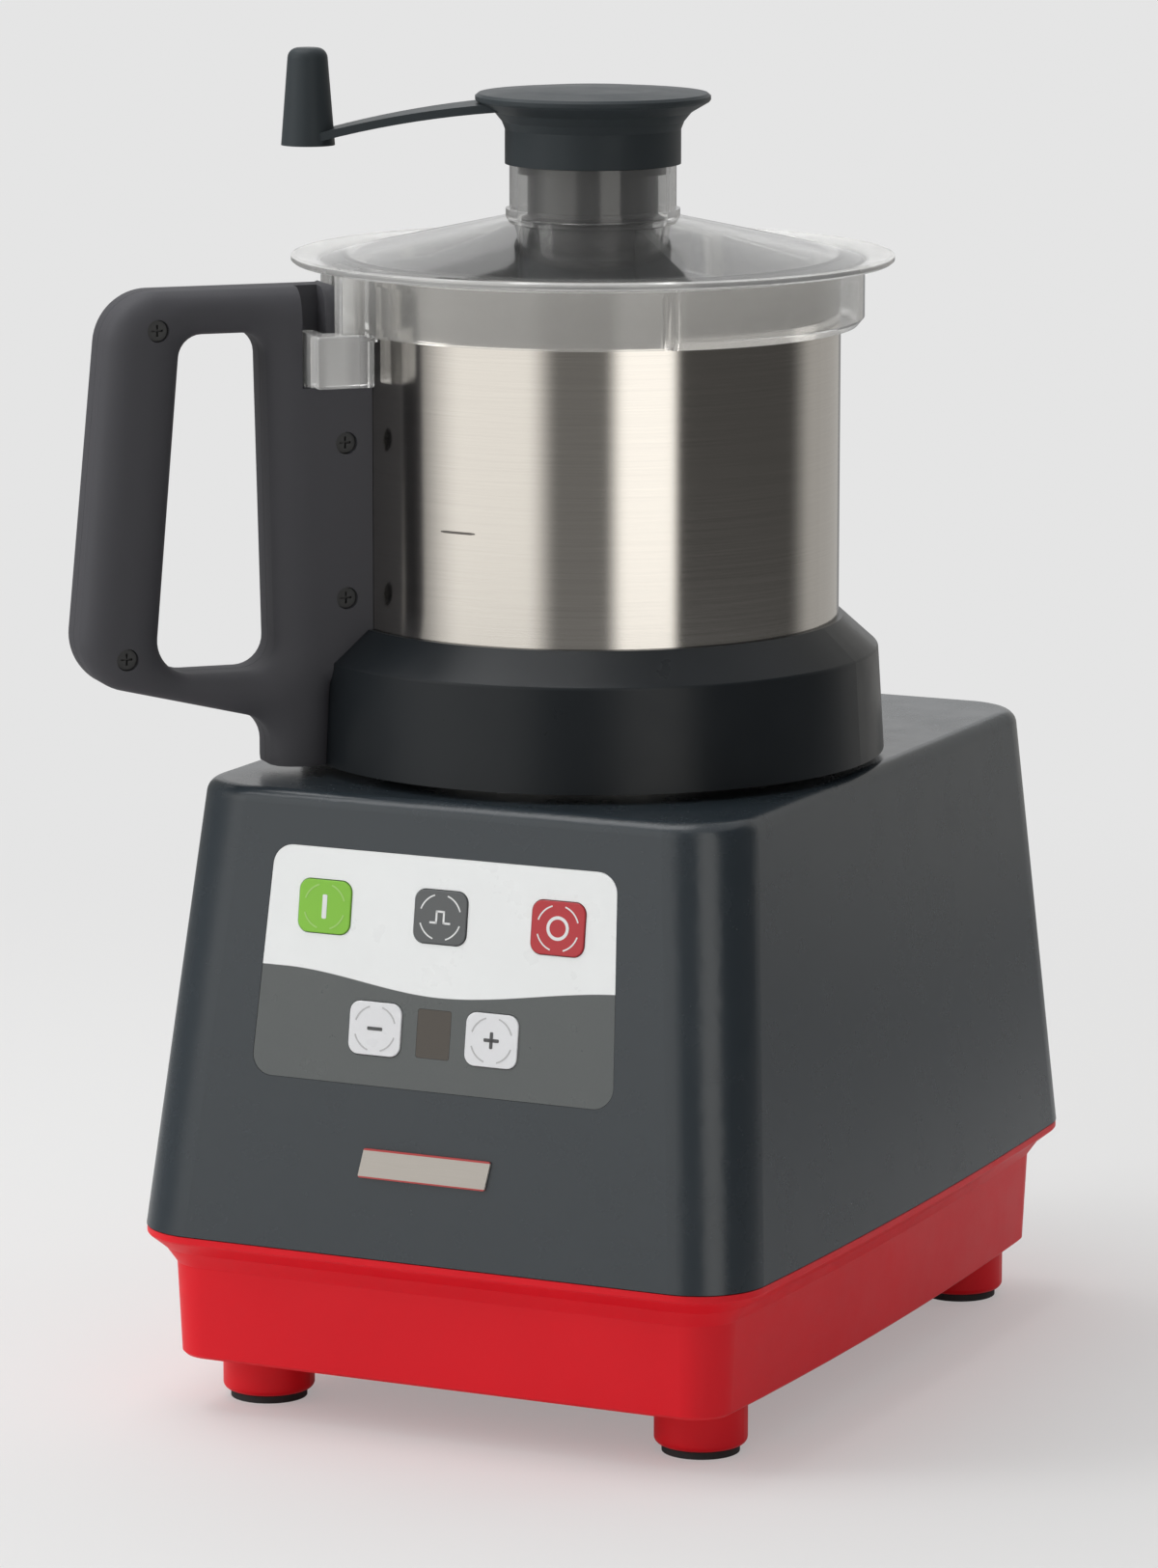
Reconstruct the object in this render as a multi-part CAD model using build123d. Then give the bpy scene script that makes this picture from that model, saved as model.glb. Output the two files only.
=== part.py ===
"""Table-top cutter mixer: motor base, keyed bowl with handle, knife, clear lid and scraper crank.

Millimetres, +Z up, front towards -Y. The origin is where the drive axis meets the table top.
Each piece is one function; the table at the end names every piece and the loop writes it.
"""
import os
from math import atan2, copysign, cos, degrees, hypot, radians, sin

from build123d import *

# ---- Housing (painted shell, tapered towards the top) ----
HOUSING_WIDTH_BOTTOM = 250.0
HOUSING_WIDTH_TOP = 223.0
HOUSING_FRONT_BOTTOM = 147.6
HOUSING_FRONT_TOP = 122.3
HOUSING_REAR_BOTTOM = 193.2
HOUSING_REAR_TOP = 179.9
HOUSING_BOTTOM_Z = 72.0
HOUSING_HEIGHT = 168.2
HOUSING_CORNER_R = 27.0
HOUSING_TOP_FILLET = 6.0
SIDE_BOW = 5.0
SIDE_BOW_TOP = 0.6
WALL = 3.5
DECK = 4.0

# ---- Plinth and feet; SIDE, FRONT and REAR count inwards from the housing's lower edge ----
PLINTH_BOTTOM_Z = 21.5
PLINTH_GAP = 0.4
PLINTH_FLANGE = 3.2
PLINTH_INSET = 11.0
PLINTH_DRAFT = 1.6
PLINTH_BEVEL = 11.0
PLINTH_WALL = 3.5
PLINTH_FLOOR = 3.0
LIP_HEIGHT = 5.0
LIP_GAP = 0.4
LIP_WALL = 1.4
FOOT_R = 17.5
FOOT_SIDE = 34.6
FOOT_FRONT = 50.2
FOOT_REAR = 35.5
FOOT_EDGE = 2.6
PAD_THICKNESS = 3.0
PAD_R = 14.6
PAD_PLUG_R = 5.0
PAD_PLUG_HEIGHT = 9.0
POST_R = 6.0
POST_SIDE = 27.0
POST_FRONT = 25.6
POST_REAR = 60.2
POST_WEB = 3.0
POST_WEB_LENGTH = 25.0
BOSS_HEIGHT = 26.0
BOSS_RISE = 4.0
SCREW_R = 2.0
SCREW_HEAD_R = 3.8
SCREW_HEAD = 2.6
SCREW_CROSS = 4.4
SCREW_CROSS_WIDTH = 0.8
SCREW_CROSS_DEPTH = 1.4
VENT_SLOTS = 7
VENT_SLOT_WIDTH = 5.0
VENT_SLOT_LENGTH = 60.0

# ---- Front panel, in the plane of the sloping front: X across, V up the slope ----
PANEL_X = -1.3
PANEL_WIDTH_TOP = 140.0
PANEL_WIDTH_BOTTOM = 148.6
PANEL_LOW_V = 64.0
PANEL_HEIGHT = 86.4
PANEL_CORNER_R = 8.0
PANEL_RECESS = 1.0
OVERLAY = 0.9
KEY_WIDTH = 21.4
KEY_HEIGHT = 19.8
KEY_CORNER_R = 4.2
KEY_PITCH = 47.8
KEY_ROW_V = 128.5
SPEED_ROW_V = 85.2
SPEED_PITCH = 23.9
KEY_GAP = 0.3
KEY_PROUD = 0.5
KEY_TRAVEL = 0.5
KEY_EDGE = 0.4
KEY_LEDGE = 1.2
KEY_LEDGE_THICKNESS = 1.2
KEY_LEDGE_GAP = 0.2
SWITCH_SIZE = 6.0
BOARD_DEPTH = 13.0
BOARD_THICKNESS = 1.6
BOARD_SIDE = 3.0
BOARD_END = 5.2
BOARD_POST_INSET = 5.0
BOARD_POST_R = 3.6
DISPLAY_WIDTH = 13.6
DISPLAY_HEIGHT = 18.0
DISPLAY_CORNER_R = 1.0
DISPLAY_GAP = 0.1
BADGE_WIDTH = 54.0
BADGE_HEIGHT = 11.0
BADGE_THICKNESS = 1.0
BADGE_V = 35.3
BADGE_SLANT = 2.0
BADGE_CORNER_R = 0.8

# ---- Motor and shaft ----
MOTOR_HANG = 12.2
STATOR_R = 70.0
STATOR_BORE_R = 38.5
STATOR_HEIGHT = 78.0
STATOR_SLOTS = 24
STATOR_SLOT_WIDTH = 2.4
ROTOR_BARS = 12
ROTOR_BAR_R = 2.4
ROTOR_BAR_PROUD = 5.0
AIR_GAP = 0.5
WINDING_HEIGHT = 10.0
SHIELD_DEPTH = 24.0
SHIELD_PLATE = 12.0
SHIELD_WALL = 4.0
SHIELD_WINDOWS = 6
SHIELD_WINDOW_WIDTH = 18.0
SHIELD_PILLAR_R = 7.0
BEARING_R = 20.0
BEARING_HEIGHT = 12.0
BEARING_LAND = 4.0
BEARING_PROUD = 2.0
BEARING_FIT = 0.05
SHAFT_R = 8.5
SHAFT_STEP = 0.5
SHAFT_FLAT_DEPTH = 1.6
SHAFT_NOSE = 23.0
SHAFT_RUN = 0.06
SHAFT_TAIL = 6.0
FAN_R = 54.0
FAN_HEIGHT = 14.0
FAN_BLADES = 9
FAN_GAP = 6.0
FAN_BLADE = 2.4
TIE_ROD_R = 2.4
TIE_ROD_INSET = 4.5

# ---- Bowl seat on the deck ----
SEAT_FLANGE_R = 80.0
SEAT_FLANGE = 5.6
SPIGOT_R = 58.6
SPIGOT_HEIGHT = 32.0
SPIGOT_GAP = 0.4
SEAT_TOP_PLATE = 8.0
SEAT_WALL = 6.0
SEAT_KEYS = 3
SEAT_KEY_WIDTH = 7.0
SEAT_KEY_DEPTH = 2.2
SEAT_REST_GAP = 0.2
SEAT_SCREWS = 4
SEAT_SCREW_INSET = 10.5
SEAL_WIDTH = 7.5
SEAL_HEIGHT = 6.0

# ---- Bowl: its collar's radii count outwards from the bowl's wall, its heights from the bowl's floor ----
BOWL_R = 94.0
BOWL_WALL = 1.0
BOWL_DEPTH = 140.0
BOWL_CORNER_R = 7.0
BOWL_RIM_LIP = 1.2
BOWL_RIM_DEPTH = 2.0
CHIMNEY_GAP = 6.1
CHIMNEY_WALL = 1.4
CHIMNEY_HEIGHT = 66.0
CHIMNEY_FLANGE = 3.0
COLLAR_DECK_GAP = 3.8
COLLAR_SPIGOT_GAP = 2.5
COLLAR_FOOT = 17.7
COLLAR_SHOULDER = 15.2
COLLAR_SHOULDER_DROP = 4.0
COLLAR_LIP = 1.8
COLLAR_GRIP = 8.0
COLLAR_WALL = 3.5
COLLAR_WEB = 6.5
COLLAR_RIBS = 12
COLLAR_RIB = 3.0
COLLAR_SLEEVE = 4.5
COLLAR_SCREWS = 4
COLLAR_SCREW_CIRCLE = 76.0
BOWL_BED_GAP = 0.2

# ---- Handle, in its own frame: S outwards from the drive axis, Z up, split down its middle ----
# The reaches and the neck count outwards from the bowl's wall.
HANDLE_AZIMUTH = 225.0
HANDLE_THICKNESS = 30.0
HANDLE_TOP_DROP = 2.5
HANDLE_STEM = 37.0
HANDLE_REACH_TOP = 98.8
HANDLE_REACH_LOW = 112.8
HANDLE_LOW_DROP = 2.8
HANDLE_WEB_RISE = 17.8
HANDLE_STUB_RISE = 0.5
HANDLE_TOP_BAR = 16.5
HANDLE_GRIP = 29.0
HANDLE_OUTER_R = 21.0
HANDLE_INNER_R = 9.0
HANDLE_HEEL_R = 12.0
HANDLE_EDGE = 6.0
HANDLE_HOLE_EDGE = 4.0
HANDLE_BOWL_GAP = 0.3
HANDLE_NECK = 12.0
HANDLE_NECK_DROP = 20.5
BRACKET_WEB = 3.0
BRACKET_PAD = 1.2
BRACKET_PAD_WIDTH = 22.0
BRACKET_DEPTH = 14.0
BRACKET_RISE = 5.0
BRACKET_HEIGHT = 80.0
HANDLE_SCREW_R = 1.9
HANDLE_SCREW_HEAD_R = 3.9
HANDLE_SCREW_HEAD = 2.4
HANDLE_SCREW_CROSS_DEPTH = 1.3
HANDLE_SCREW_RECESS = 4.5
HANDLE_STEM_SCREW = 9.0
HANDLE_STEM_SCREW_RISES = (7.5, 66.0)
HANDLE_GRIP_SCREW_TOP_INSET = (17.3, 14.0)
HANDLE_GRIP_SCREW_LOW_INSET = (18.3, 8.3)

# ---- Interlock rod in the handle ----
ROD_STANDOFF = 21.6
ROD_OFFSET = 8.5
ROD_R = 2.2
ROD_BORE_GAP = 0.15
ROD_PROUD = 0.4
ROD_COLLAR_R = 3.6
ROD_COLLAR_DROP = 51.4
ROD_COLLAR_HEIGHT = 3.0
ROD_TRAVEL = 3.0
ROD_LOW_RISE = 12.0
SPRING_LENGTH = 18.0
SPRING_TURNS = 6
SPRING_WIRE_R = 0.45
MAGNET_R = 2.2
MAGNET_HEIGHT = 8.0
NOTCH_STANDOFF = 16.8
NOTCH_WIDTH = 9.2
NOTCH_HEIGHT = 37.5
NOTCH_DEPTH = 11.6
REED_LENGTH = 18.0
REED_WIDTH = 8.0
REED_HEIGHT = 5.0

# ---- Lid: its radii count outwards from the bowl's wall, its heights from the bowl's rim ----
LID_WALL = 2.4
LID_RIM = 20.2
LID_RIM_RISE = 4.4
LID_GUTTER = 9.5
LID_GUTTER_RISE = 3.6
LID_SKIRT = 4.2
LID_POCKET = 9.0
LID_POCKET_START = 312.0
LID_POCKET_SPAN = 90.0
LID_POCKET_EDGE = 1.4
LID_POCKETS = 2
LID_SKIRT_DEPTH = 21.0
NECK_R = 31.6
NECK_WALL = 3.0
NECK_LIP = 1.4
NECK_LIP_RISE = 19.2
NECK_LIP_HEIGHT = 3.2
NECK_HEIGHT = 19.8
LUG_STANDOFF = 2.2
LUG_DEPTH = 22.4
LUG_NEAR = 0.5
LUG_WIDTH = 13.5
LUG_DROP = 16.9
LUG_HEIGHT = 19.6
LUG_EDGE = 1.2
LUG_BAR_DEPTH = 13.6
LUG_BAR_WIDTH = 9.5
TONGUE_STANDOFF = 18.6
TONGUE_WIDTH = 5.6
TONGUE_DEPTH = 11.0
TONGUE_GAP = 0.4
GASKET_WIDTH = 2.8
GASKET_GAP = 0.05

# ---- Knife ----
HUB_WALL = 4.4
HUB_BORE_GAP = 1.6
HUB_STEP = 7.0
HUB_FLANGE = 3.0
HUB_FLOOR_GAP = 2.8
HUB_SHOULDER = 4.0
BLADE_THICKNESS = 2.6
BLADE_TIP_GAP = 5.0
BLADE_STEP = 30.0
BLADE_RING_GAP = 0.05
HUB_CAP_STEP = 3.0
HUB_NOSE_STEP = 6.0
HUB_NOSE_HEIGHT = 24.0
HUB_LOBES = 8
HUB_LOBE_R = 3.2

# ---- Crank and scraper ----
CRANK_AZIMUTH = 205.0
CRANK_RIM_R = 44.5
CRANK_RIM_RISE = 25.0
CRANK_CROWN = 4.0
CRANK_CAP_R = 33.3
CRANK_CAP_HEIGHT = 16.0
CRANK_CAP_WALL = 4.0
CRANK_REST_GAP = 0.3
CRANK_ARM_ROOT_WIDTH = 34.0
CRANK_ARM_TIP_WIDTH = 16.0
CRANK_ARM = 3.2
CRANK_ARM_DROOP = 4.2
CRANK_SLOT_WIDTH = 4.4
CRANK_SLOT_AZIMUTH = 92.0
KNOB_S = 107.5
KNOB_LOW_R = 10.2
KNOB_TOP_R = 7.3
KNOB_RISE = 7.0
KNOB_HEIGHT = 36.6
KNOB_ROUND = 4.0
SCRAPER_NECK_R = 24.7
SCRAPER_R = 27.0
SCRAPER_FLARE_R = 28.2
SCRAPER_DROP = 16.0
SCRAPER_WALL = 3.0
SCRAPER_RUN = 0.25
SCRAPER_BOSS = 4.0
SCRAPER_BOSS_R = 16.0
SCRAPER_ROOF = 4.0
SCRAPER_ARMS = 3
SCRAPER_ARM = 4.0
SCRAPER_ARM_DEPTH = 7.0
SCRAPER_BRACE_S = 62.0
SCRAPER_LID_GAP = 2.2
WIPER_GAP = 1.2
WIPER_DEPTH = 9.0
WIPER_THICKNESS = 3.0
WIPER_DROP = 81.0
CRANK_SCREW_R = 3.0
CRANK_SCREW_HEAD_R = 6.5
CRANK_SCREW_HEAD = 5.0

# ---- Rear: vent grille, cable gland, power electronics ----
GRILLE_WIDTH = 120.0
GRILLE_HEIGHT = 58.0
GRILLE_V = 92.0
GRILLE_FRAME = 7.0
GRILLE_SLATS = 7
GRILLE_SLAT = 3.0
GRILLE_TILT = 35.0
GLAND_SIDE = 45.0
GLAND_V = 26.0
GLAND_R = 9.0
GLAND_BORE_R = 4.2
GLAND_NUT_R = 12.0
GLAND_NUT = 5.0
GLAND_LENGTH = 26.0
POWER_BOARD_WIDTH = 130.0
POWER_BOARD_DEPTH = 76.0
POWER_BOARD_REAR = 27.2
POWER_BOARD_RISE = 26.5
POWER_POST_R = 4.0
POWER_POST_INSET = 7.0
HEAT_SINK_FINS = 8
HEAT_SINK_FIN = 1.6
HEAT_SINK_HEIGHT = 24.0
HEAT_SINK_BASE = 4.0
CAPACITOR_R = 11.0
CAPACITOR_HEIGHT = 34.0

# ---- Worked out from the sizes above ----
HOUSING_TOP_Z = HOUSING_BOTTOM_Z + HOUSING_HEIGHT
DECK_UNDERSIDE_Z = HOUSING_TOP_Z - DECK
FOOT_X = HOUSING_WIDTH_BOTTOM / 2 - FOOT_SIDE
FOOT_FRONT_Y = FOOT_FRONT - HOUSING_FRONT_BOTTOM
FOOT_REAR_Y = HOUSING_REAR_BOTTOM - FOOT_REAR
POST_X = HOUSING_WIDTH_BOTTOM / 2 - POST_SIDE
POST_FRONT_Y = POST_FRONT - HOUSING_FRONT_BOTTOM
POST_REAR_Y = HOUSING_REAR_BOTTOM - POST_REAR
SHIELD_TOP_Z = DECK_UNDERSIDE_Z - MOTOR_HANG
STATOR_TOP_Z = SHIELD_TOP_Z - SHIELD_DEPTH
STATOR_LOW_Z = STATOR_TOP_Z - STATOR_HEIGHT
LOWER_SHIELD_Z = STATOR_LOW_Z - SHIELD_DEPTH
UPPER_BEARING_Z = SHIELD_TOP_Z + BEARING_PROUD - BEARING_HEIGHT
LOWER_BEARING_Z = LOWER_SHIELD_Z - BEARING_PROUD / 2
BEARING_LAND_R = SHAFT_R + BEARING_LAND
SHAFT_NOSE_R = SHAFT_R - SHAFT_STEP
SHAFT_FLAT = SHAFT_NOSE_R - SHAFT_FLAT_DEPTH
TIE_ROD_CIRCLE = STATOR_R - TIE_ROD_INSET
SEAT_FLANGE_TOP_Z = HOUSING_TOP_Z + SEAT_FLANGE
SEAT_SCREW_CIRCLE = SEAT_FLANGE_R - SEAT_SCREW_INSET
SEAL_R = SHAFT_R + SEAL_WIDTH
SPIGOT_TOP_Z = SEAT_FLANGE_TOP_Z + SPIGOT_HEIGHT
SLEEVE_LOW_Z = SEAT_FLANGE_TOP_Z + SEAT_REST_GAP
WEB_LOW_Z = SPIGOT_TOP_Z + COLLAR_SPIGOT_GAP
WEB_TOP_Z = WEB_LOW_Z + COLLAR_WEB
BOWL_FLOOR_Z = WEB_TOP_Z + BOWL_BED_GAP
BOWL_RIM_Z = BOWL_FLOOR_Z + BOWL_DEPTH
BOWL_INSIDE_R = BOWL_R - BOWL_WALL
BOWL_INSIDE_Z = BOWL_FLOOR_Z + BOWL_WALL
CHIMNEY_R = SHAFT_R + CHIMNEY_GAP + CHIMNEY_WALL
CHIMNEY_TOP_Z = BOWL_FLOOR_Z + CHIMNEY_HEIGHT
SHAFT_TOP_Z = CHIMNEY_TOP_Z + SHAFT_NOSE
COLLAR_LOW_Z = HOUSING_TOP_Z + COLLAR_DECK_GAP
COLLAR_LOW_R = BOWL_R + COLLAR_FOOT
COLLAR_SHOULDER_R = BOWL_R + COLLAR_SHOULDER
COLLAR_SHOULDER_Z = BOWL_FLOOR_Z - COLLAR_SHOULDER_DROP
COLLAR_TOP_R = BOWL_R + COLLAR_LIP
COLLAR_TOP_Z = BOWL_FLOOR_Z + COLLAR_GRIP
HANDLE_HALF = HANDLE_THICKNESS / 2
HANDLE_ROOT_S = BOWL_R + BRACKET_PAD + HANDLE_BOWL_GAP
HANDLE_STEM_S = BOWL_R + HANDLE_STEM
HANDLE_GRIP_TOP_S = BOWL_R + HANDLE_REACH_TOP
HANDLE_GRIP_LOW_S = BOWL_R + HANDLE_REACH_LOW
HANDLE_NECK_S = BOWL_R + HANDLE_NECK
HANDLE_TOP_Z = BOWL_RIM_Z - HANDLE_TOP_DROP
HANDLE_NECK_Z = HANDLE_TOP_Z - HANDLE_NECK_DROP
HANDLE_LOW_Z = COLLAR_SHOULDER_Z - HANDLE_LOW_DROP
HANDLE_WEB_LOW_Z = COLLAR_LOW_Z + HANDLE_WEB_RISE
HANDLE_STUB_Z = COLLAR_LOW_Z + HANDLE_STUB_RISE
BRACKET_LOW_Z = COLLAR_TOP_Z + BRACKET_RISE
HANDLE_STEM_SCREWS = [(BOWL_R + HANDLE_STEM_SCREW, BRACKET_LOW_Z + rise) for rise in HANDLE_STEM_SCREW_RISES]
HANDLE_SCREW_PLACES = HANDLE_STEM_SCREWS + [
    (HANDLE_GRIP_TOP_S - HANDLE_GRIP_SCREW_TOP_INSET[0], HANDLE_TOP_Z - HANDLE_GRIP_SCREW_TOP_INSET[1]),
    (HANDLE_GRIP_LOW_S - HANDLE_GRIP_SCREW_LOW_INSET[0], HANDLE_LOW_Z + HANDLE_GRIP_SCREW_LOW_INSET[1]),
]
NOTCH_LOW_Z = HANDLE_TOP_Z - NOTCH_HEIGHT
NOTCH_NEAR_S = BOWL_R + NOTCH_STANDOFF
ROD_S = BOWL_R + ROD_STANDOFF
ROD_TOP_Z = NOTCH_LOW_Z + ROD_PROUD
ROD_COLLAR_Z = ROD_TOP_Z - ROD_COLLAR_DROP
ROD_LOW_Z = COLLAR_LOW_Z + ROD_LOW_RISE
LID_RIM_R = BOWL_R + LID_RIM
LID_RIM_Z = BOWL_RIM_Z + LID_RIM_RISE
LID_GUTTER_R = BOWL_R + LID_GUTTER
LID_GUTTER_Z = BOWL_RIM_Z + LID_GUTTER_RISE
LID_SKIRT_R = BOWL_R + LID_SKIRT
LID_SKIRT_LOW_Z = BOWL_RIM_Z - LID_SKIRT_DEPTH
LID_POCKET_R = BOWL_R + LID_POCKET
NECK_BORE_R = NECK_R - NECK_WALL
NECK_LIP_R = NECK_R + NECK_LIP
NECK_LIP_Z = BOWL_RIM_Z + NECK_LIP_RISE
NECK_TOP_Z = NECK_LIP_Z + NECK_HEIGHT
LUG_NEAR_S = BOWL_R + LUG_STANDOFF
LUG_HIGH_Z = HANDLE_TOP_Z - LUG_DROP
LUG_LOW_Z = LUG_HIGH_Z - LUG_HEIGHT
TONGUE_NEAR_S = BOWL_R + TONGUE_STANDOFF
TONGUE_LOW_Z = ROD_TOP_Z + TONGUE_GAP
HUB_R = CHIMNEY_R + HUB_BORE_GAP + HUB_WALL
HUB_FLANGE_R = HUB_R + HUB_STEP
HUB_NOSE_R = HUB_R - HUB_NOSE_STEP
HUB_CAP_R = HUB_R + HUB_CAP_STEP
HUB_LOW_Z = BOWL_INSIDE_Z + HUB_FLOOR_GAP
LOW_BLADE_Z = HUB_LOW_Z + HUB_FLANGE
HIGH_BLADE_Z = LOW_BLADE_Z + BLADE_STEP
HUB_BODY_TOP_Z = CHIMNEY_TOP_Z + HUB_SHOULDER
HUB_NOSE_TOP_Z = HUB_BODY_TOP_Z + HUB_NOSE_HEIGHT
BLADE_REACH = BOWL_INSIDE_R - BLADE_TIP_GAP
CRANK_LOW_Z = NECK_TOP_Z + CRANK_REST_GAP
CRANK_FLARE_Z = CRANK_LOW_Z + CRANK_CAP_HEIGHT
CRANK_RIM_Z = NECK_TOP_Z + CRANK_RIM_RISE
CRANK_CROWN_Z = CRANK_RIM_Z + CRANK_CROWN
KNOB_LOW_Z = NECK_TOP_Z + KNOB_RISE
KNOB_TOP_Z = KNOB_LOW_Z + KNOB_HEIGHT
SCRAPER_LOW_Z = BOWL_RIM_Z - SCRAPER_DROP
SCRAPER_TOP_Z = NECK_TOP_Z + SCRAPER_BOSS
SCRAPER_ROOF_Z = NECK_TOP_Z - SCRAPER_ROOF
SCRAPER_SHELF_Z = LID_GUTTER_Z - LID_WALL - SCRAPER_LID_GAP
SCRAPER_TIP_S = BOWL_INSIDE_R - WIPER_GAP - WIPER_DEPTH
WIPER_LOW_Z = BOWL_RIM_Z - WIPER_DROP
GLAND_X = HOUSING_WIDTH_BOTTOM / 2 - GLAND_SIDE
POWER_BOARD_Y = HOUSING_REAR_BOTTOM - POWER_BOARD_REAR - POWER_BOARD_DEPTH / 2
POWER_BOARD_Z = PLINTH_BOTTOM_Z + POWER_BOARD_RISE
FRONT_TILT = degrees(atan2(HOUSING_FRONT_BOTTOM - HOUSING_FRONT_TOP, HOUSING_HEIGHT))
REAR_TILT = degrees(atan2(HOUSING_REAR_BOTTOM - HOUSING_REAR_TOP, HOUSING_HEIGHT))
FRONT = Plane(
    origin=(0, -HOUSING_FRONT_BOTTOM, HOUSING_BOTTOM_Z),
    x_dir=(1, 0, 0),
    z_dir=(0, -cos(radians(FRONT_TILT)), sin(radians(FRONT_TILT))),
)
REAR = Plane(
    origin=(0, HOUSING_REAR_BOTTOM, HOUSING_BOTTOM_Z),
    x_dir=(-1, 0, 0),
    z_dir=(0, cos(radians(REAR_TILT)), sin(radians(REAR_TILT))),
)
FOOT_PLACES = [(sx * FOOT_X, y) for y in (FOOT_FRONT_Y, FOOT_REAR_Y) for sx in (-1, 1)]
POST_PLACES = [(sx * POST_X, y) for y in (POST_FRONT_Y, POST_REAR_Y) for sx in (-1, 1)]
KEYS = {
    "key_start": (PANEL_X - KEY_PITCH, KEY_ROW_V),
    "key_pulse": (PANEL_X, KEY_ROW_V),
    "key_stop": (PANEL_X + KEY_PITCH, KEY_ROW_V),
    "key_minus": (PANEL_X - SPEED_PITCH, SPEED_ROW_V),
    "key_plus": (PANEL_X + SPEED_PITCH, SPEED_ROW_V),
}
BOARD_WIDTH = PANEL_WIDTH_TOP - 2 * BOARD_SIDE
BOARD_HEIGHT = PANEL_HEIGHT - 2 * BOARD_END
BOARD_V = PANEL_LOW_V + PANEL_HEIGHT / 2
BOARD_POST_X = BOARD_WIDTH / 2 - BOARD_POST_INSET
BOARD_POST_V = BOARD_HEIGHT / 2 - BOARD_POST_INSET
BOARD_POSTS = [(PANEL_X + sx * BOARD_POST_X, BOARD_V + sv * BOARD_POST_V) for sx in (-1, 1) for sv in (-1, 1)]
POWER_POSTS = [
    (sx * (POWER_BOARD_WIDTH / 2 - POWER_POST_INSET),
     POWER_BOARD_Y + sy * (POWER_BOARD_DEPTH / 2 - POWER_POST_INSET))
    for sx in (-1, 1)
    for sy in (-1, 1)
]


# ---- Helpers ----
def disc(radius, low, high, x=0.0, y=0.0):
    """A vertical round bar between two heights."""
    base = (Align.CENTER, Align.CENTER, Align.MIN)
    return Pos(x, y, low) * Cylinder(radius, high - low, align=base)


def ring(inner, outer, low, high, x=0.0, y=0.0):
    """A vertical tube between two heights."""
    return disc(outer, low, high, x, y) - disc(inner, low - 1, high + 1, x, y)


def block(x0, x1, y0, y1, z0, z1):
    """A box between two corners, given in either order."""
    return Pos((x0 + x1) / 2, (y0 + y1) / 2, (z0 + z1) / 2) * Box(abs(x1 - x0), abs(y1 - y0), abs(z1 - z0))


def turned(points):
    """A solid turned about the drive axis from points given as (radius, height)."""
    return revolve(Plane.XZ * Polygon(*points, align=None), Axis.Z)


def around(shape, count, start=0.0):
    """Copies of a shape, evenly spaced about the drive axis."""
    return [Rot(0, 0, start + 360 * i / count) * shape for i in range(count)]


def on_circle(radius, count, start=0.0):
    """Places evenly spaced on a circle about the drive axis."""
    angles = [radians(start + 360 * i / count) for i in range(count)]
    return [(radius * cos(a), radius * sin(a)) for a in angles]


def on_face(face, x, v, shape):
    """A shape moved to a place on a sloping face, its own Z along the face's normal."""
    return face * Pos(x, v, 0) * shape


def plate(width, height, low, high, corner):
    """A rounded rectangular plate between two depths."""
    outline = RectangleRounded(width, height, corner)
    return Pos(0, 0, low) * extrude(outline, amount=high - low)


def joined(shapes):
    """One solid from several that touch or overlap."""
    result = shapes[0]
    for shape in shapes[1:]:
        result = result + shape
    return result


def less(shape, cuts):
    """A shape with each cut taken from it."""
    for cut in cuts:
        shape = shape - cut
    return shape


def outline_at(level, inset):
    """The housing's plan at a share of its height, drawn inwards by an inset; its sides bow a little."""
    half = (HOUSING_WIDTH_BOTTOM + (HOUSING_WIDTH_TOP - HOUSING_WIDTH_BOTTOM) * level) / 2 - inset
    front = -(HOUSING_FRONT_BOTTOM + (HOUSING_FRONT_TOP - HOUSING_FRONT_BOTTOM) * level) + inset
    rear = HOUSING_REAR_BOTTOM + (HOUSING_REAR_TOP - HOUSING_REAR_BOTTOM) * level - inset
    bow = SIDE_BOW + (SIDE_BOW_TOP - SIDE_BOW) * level
    middle = (front + rear) / 2
    edges = [
        Line((-half, front), (half, front)),
        ThreePointArc((half, front), (half + bow, middle), (half, rear)),
        Line((half, rear), (-half, rear)),
        ThreePointArc((-half, rear), (-half - bow, middle), (-half, front)),
    ]
    face = make_face(edges)
    return fillet(face.vertices(), max(HOUSING_CORNER_R - inset, 2.0))


def walled(sections):
    """A solid through plans given as (height, level, inset), lowest first, straight between them."""
    parts = []
    for (z0, level0, inset0), (z1, level1, inset1) in zip(sections, sections[1:]):
        lower = Pos(0, 0, z0) * outline_at(level0, inset0)
        upper = Pos(0, 0, z1) * outline_at(level1, inset1)
        parts.append(loft([lower.face(), upper.face()], ruled=True))
    return joined(parts)


def handle_frame(shape):
    """A piece drawn with the handle along +X, turned to where the handle points."""
    return Rot(0, 0, HANDLE_AZIMUTH) * shape


def cross_bar(radius, s, z, near, far):
    """A round bar across the handle, from one offset to another."""
    length = far - near
    bar = Cylinder(radius, length)
    return Pos(s, (near + far) / 2, z) * Rot(90, 0, 0) * bar


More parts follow.
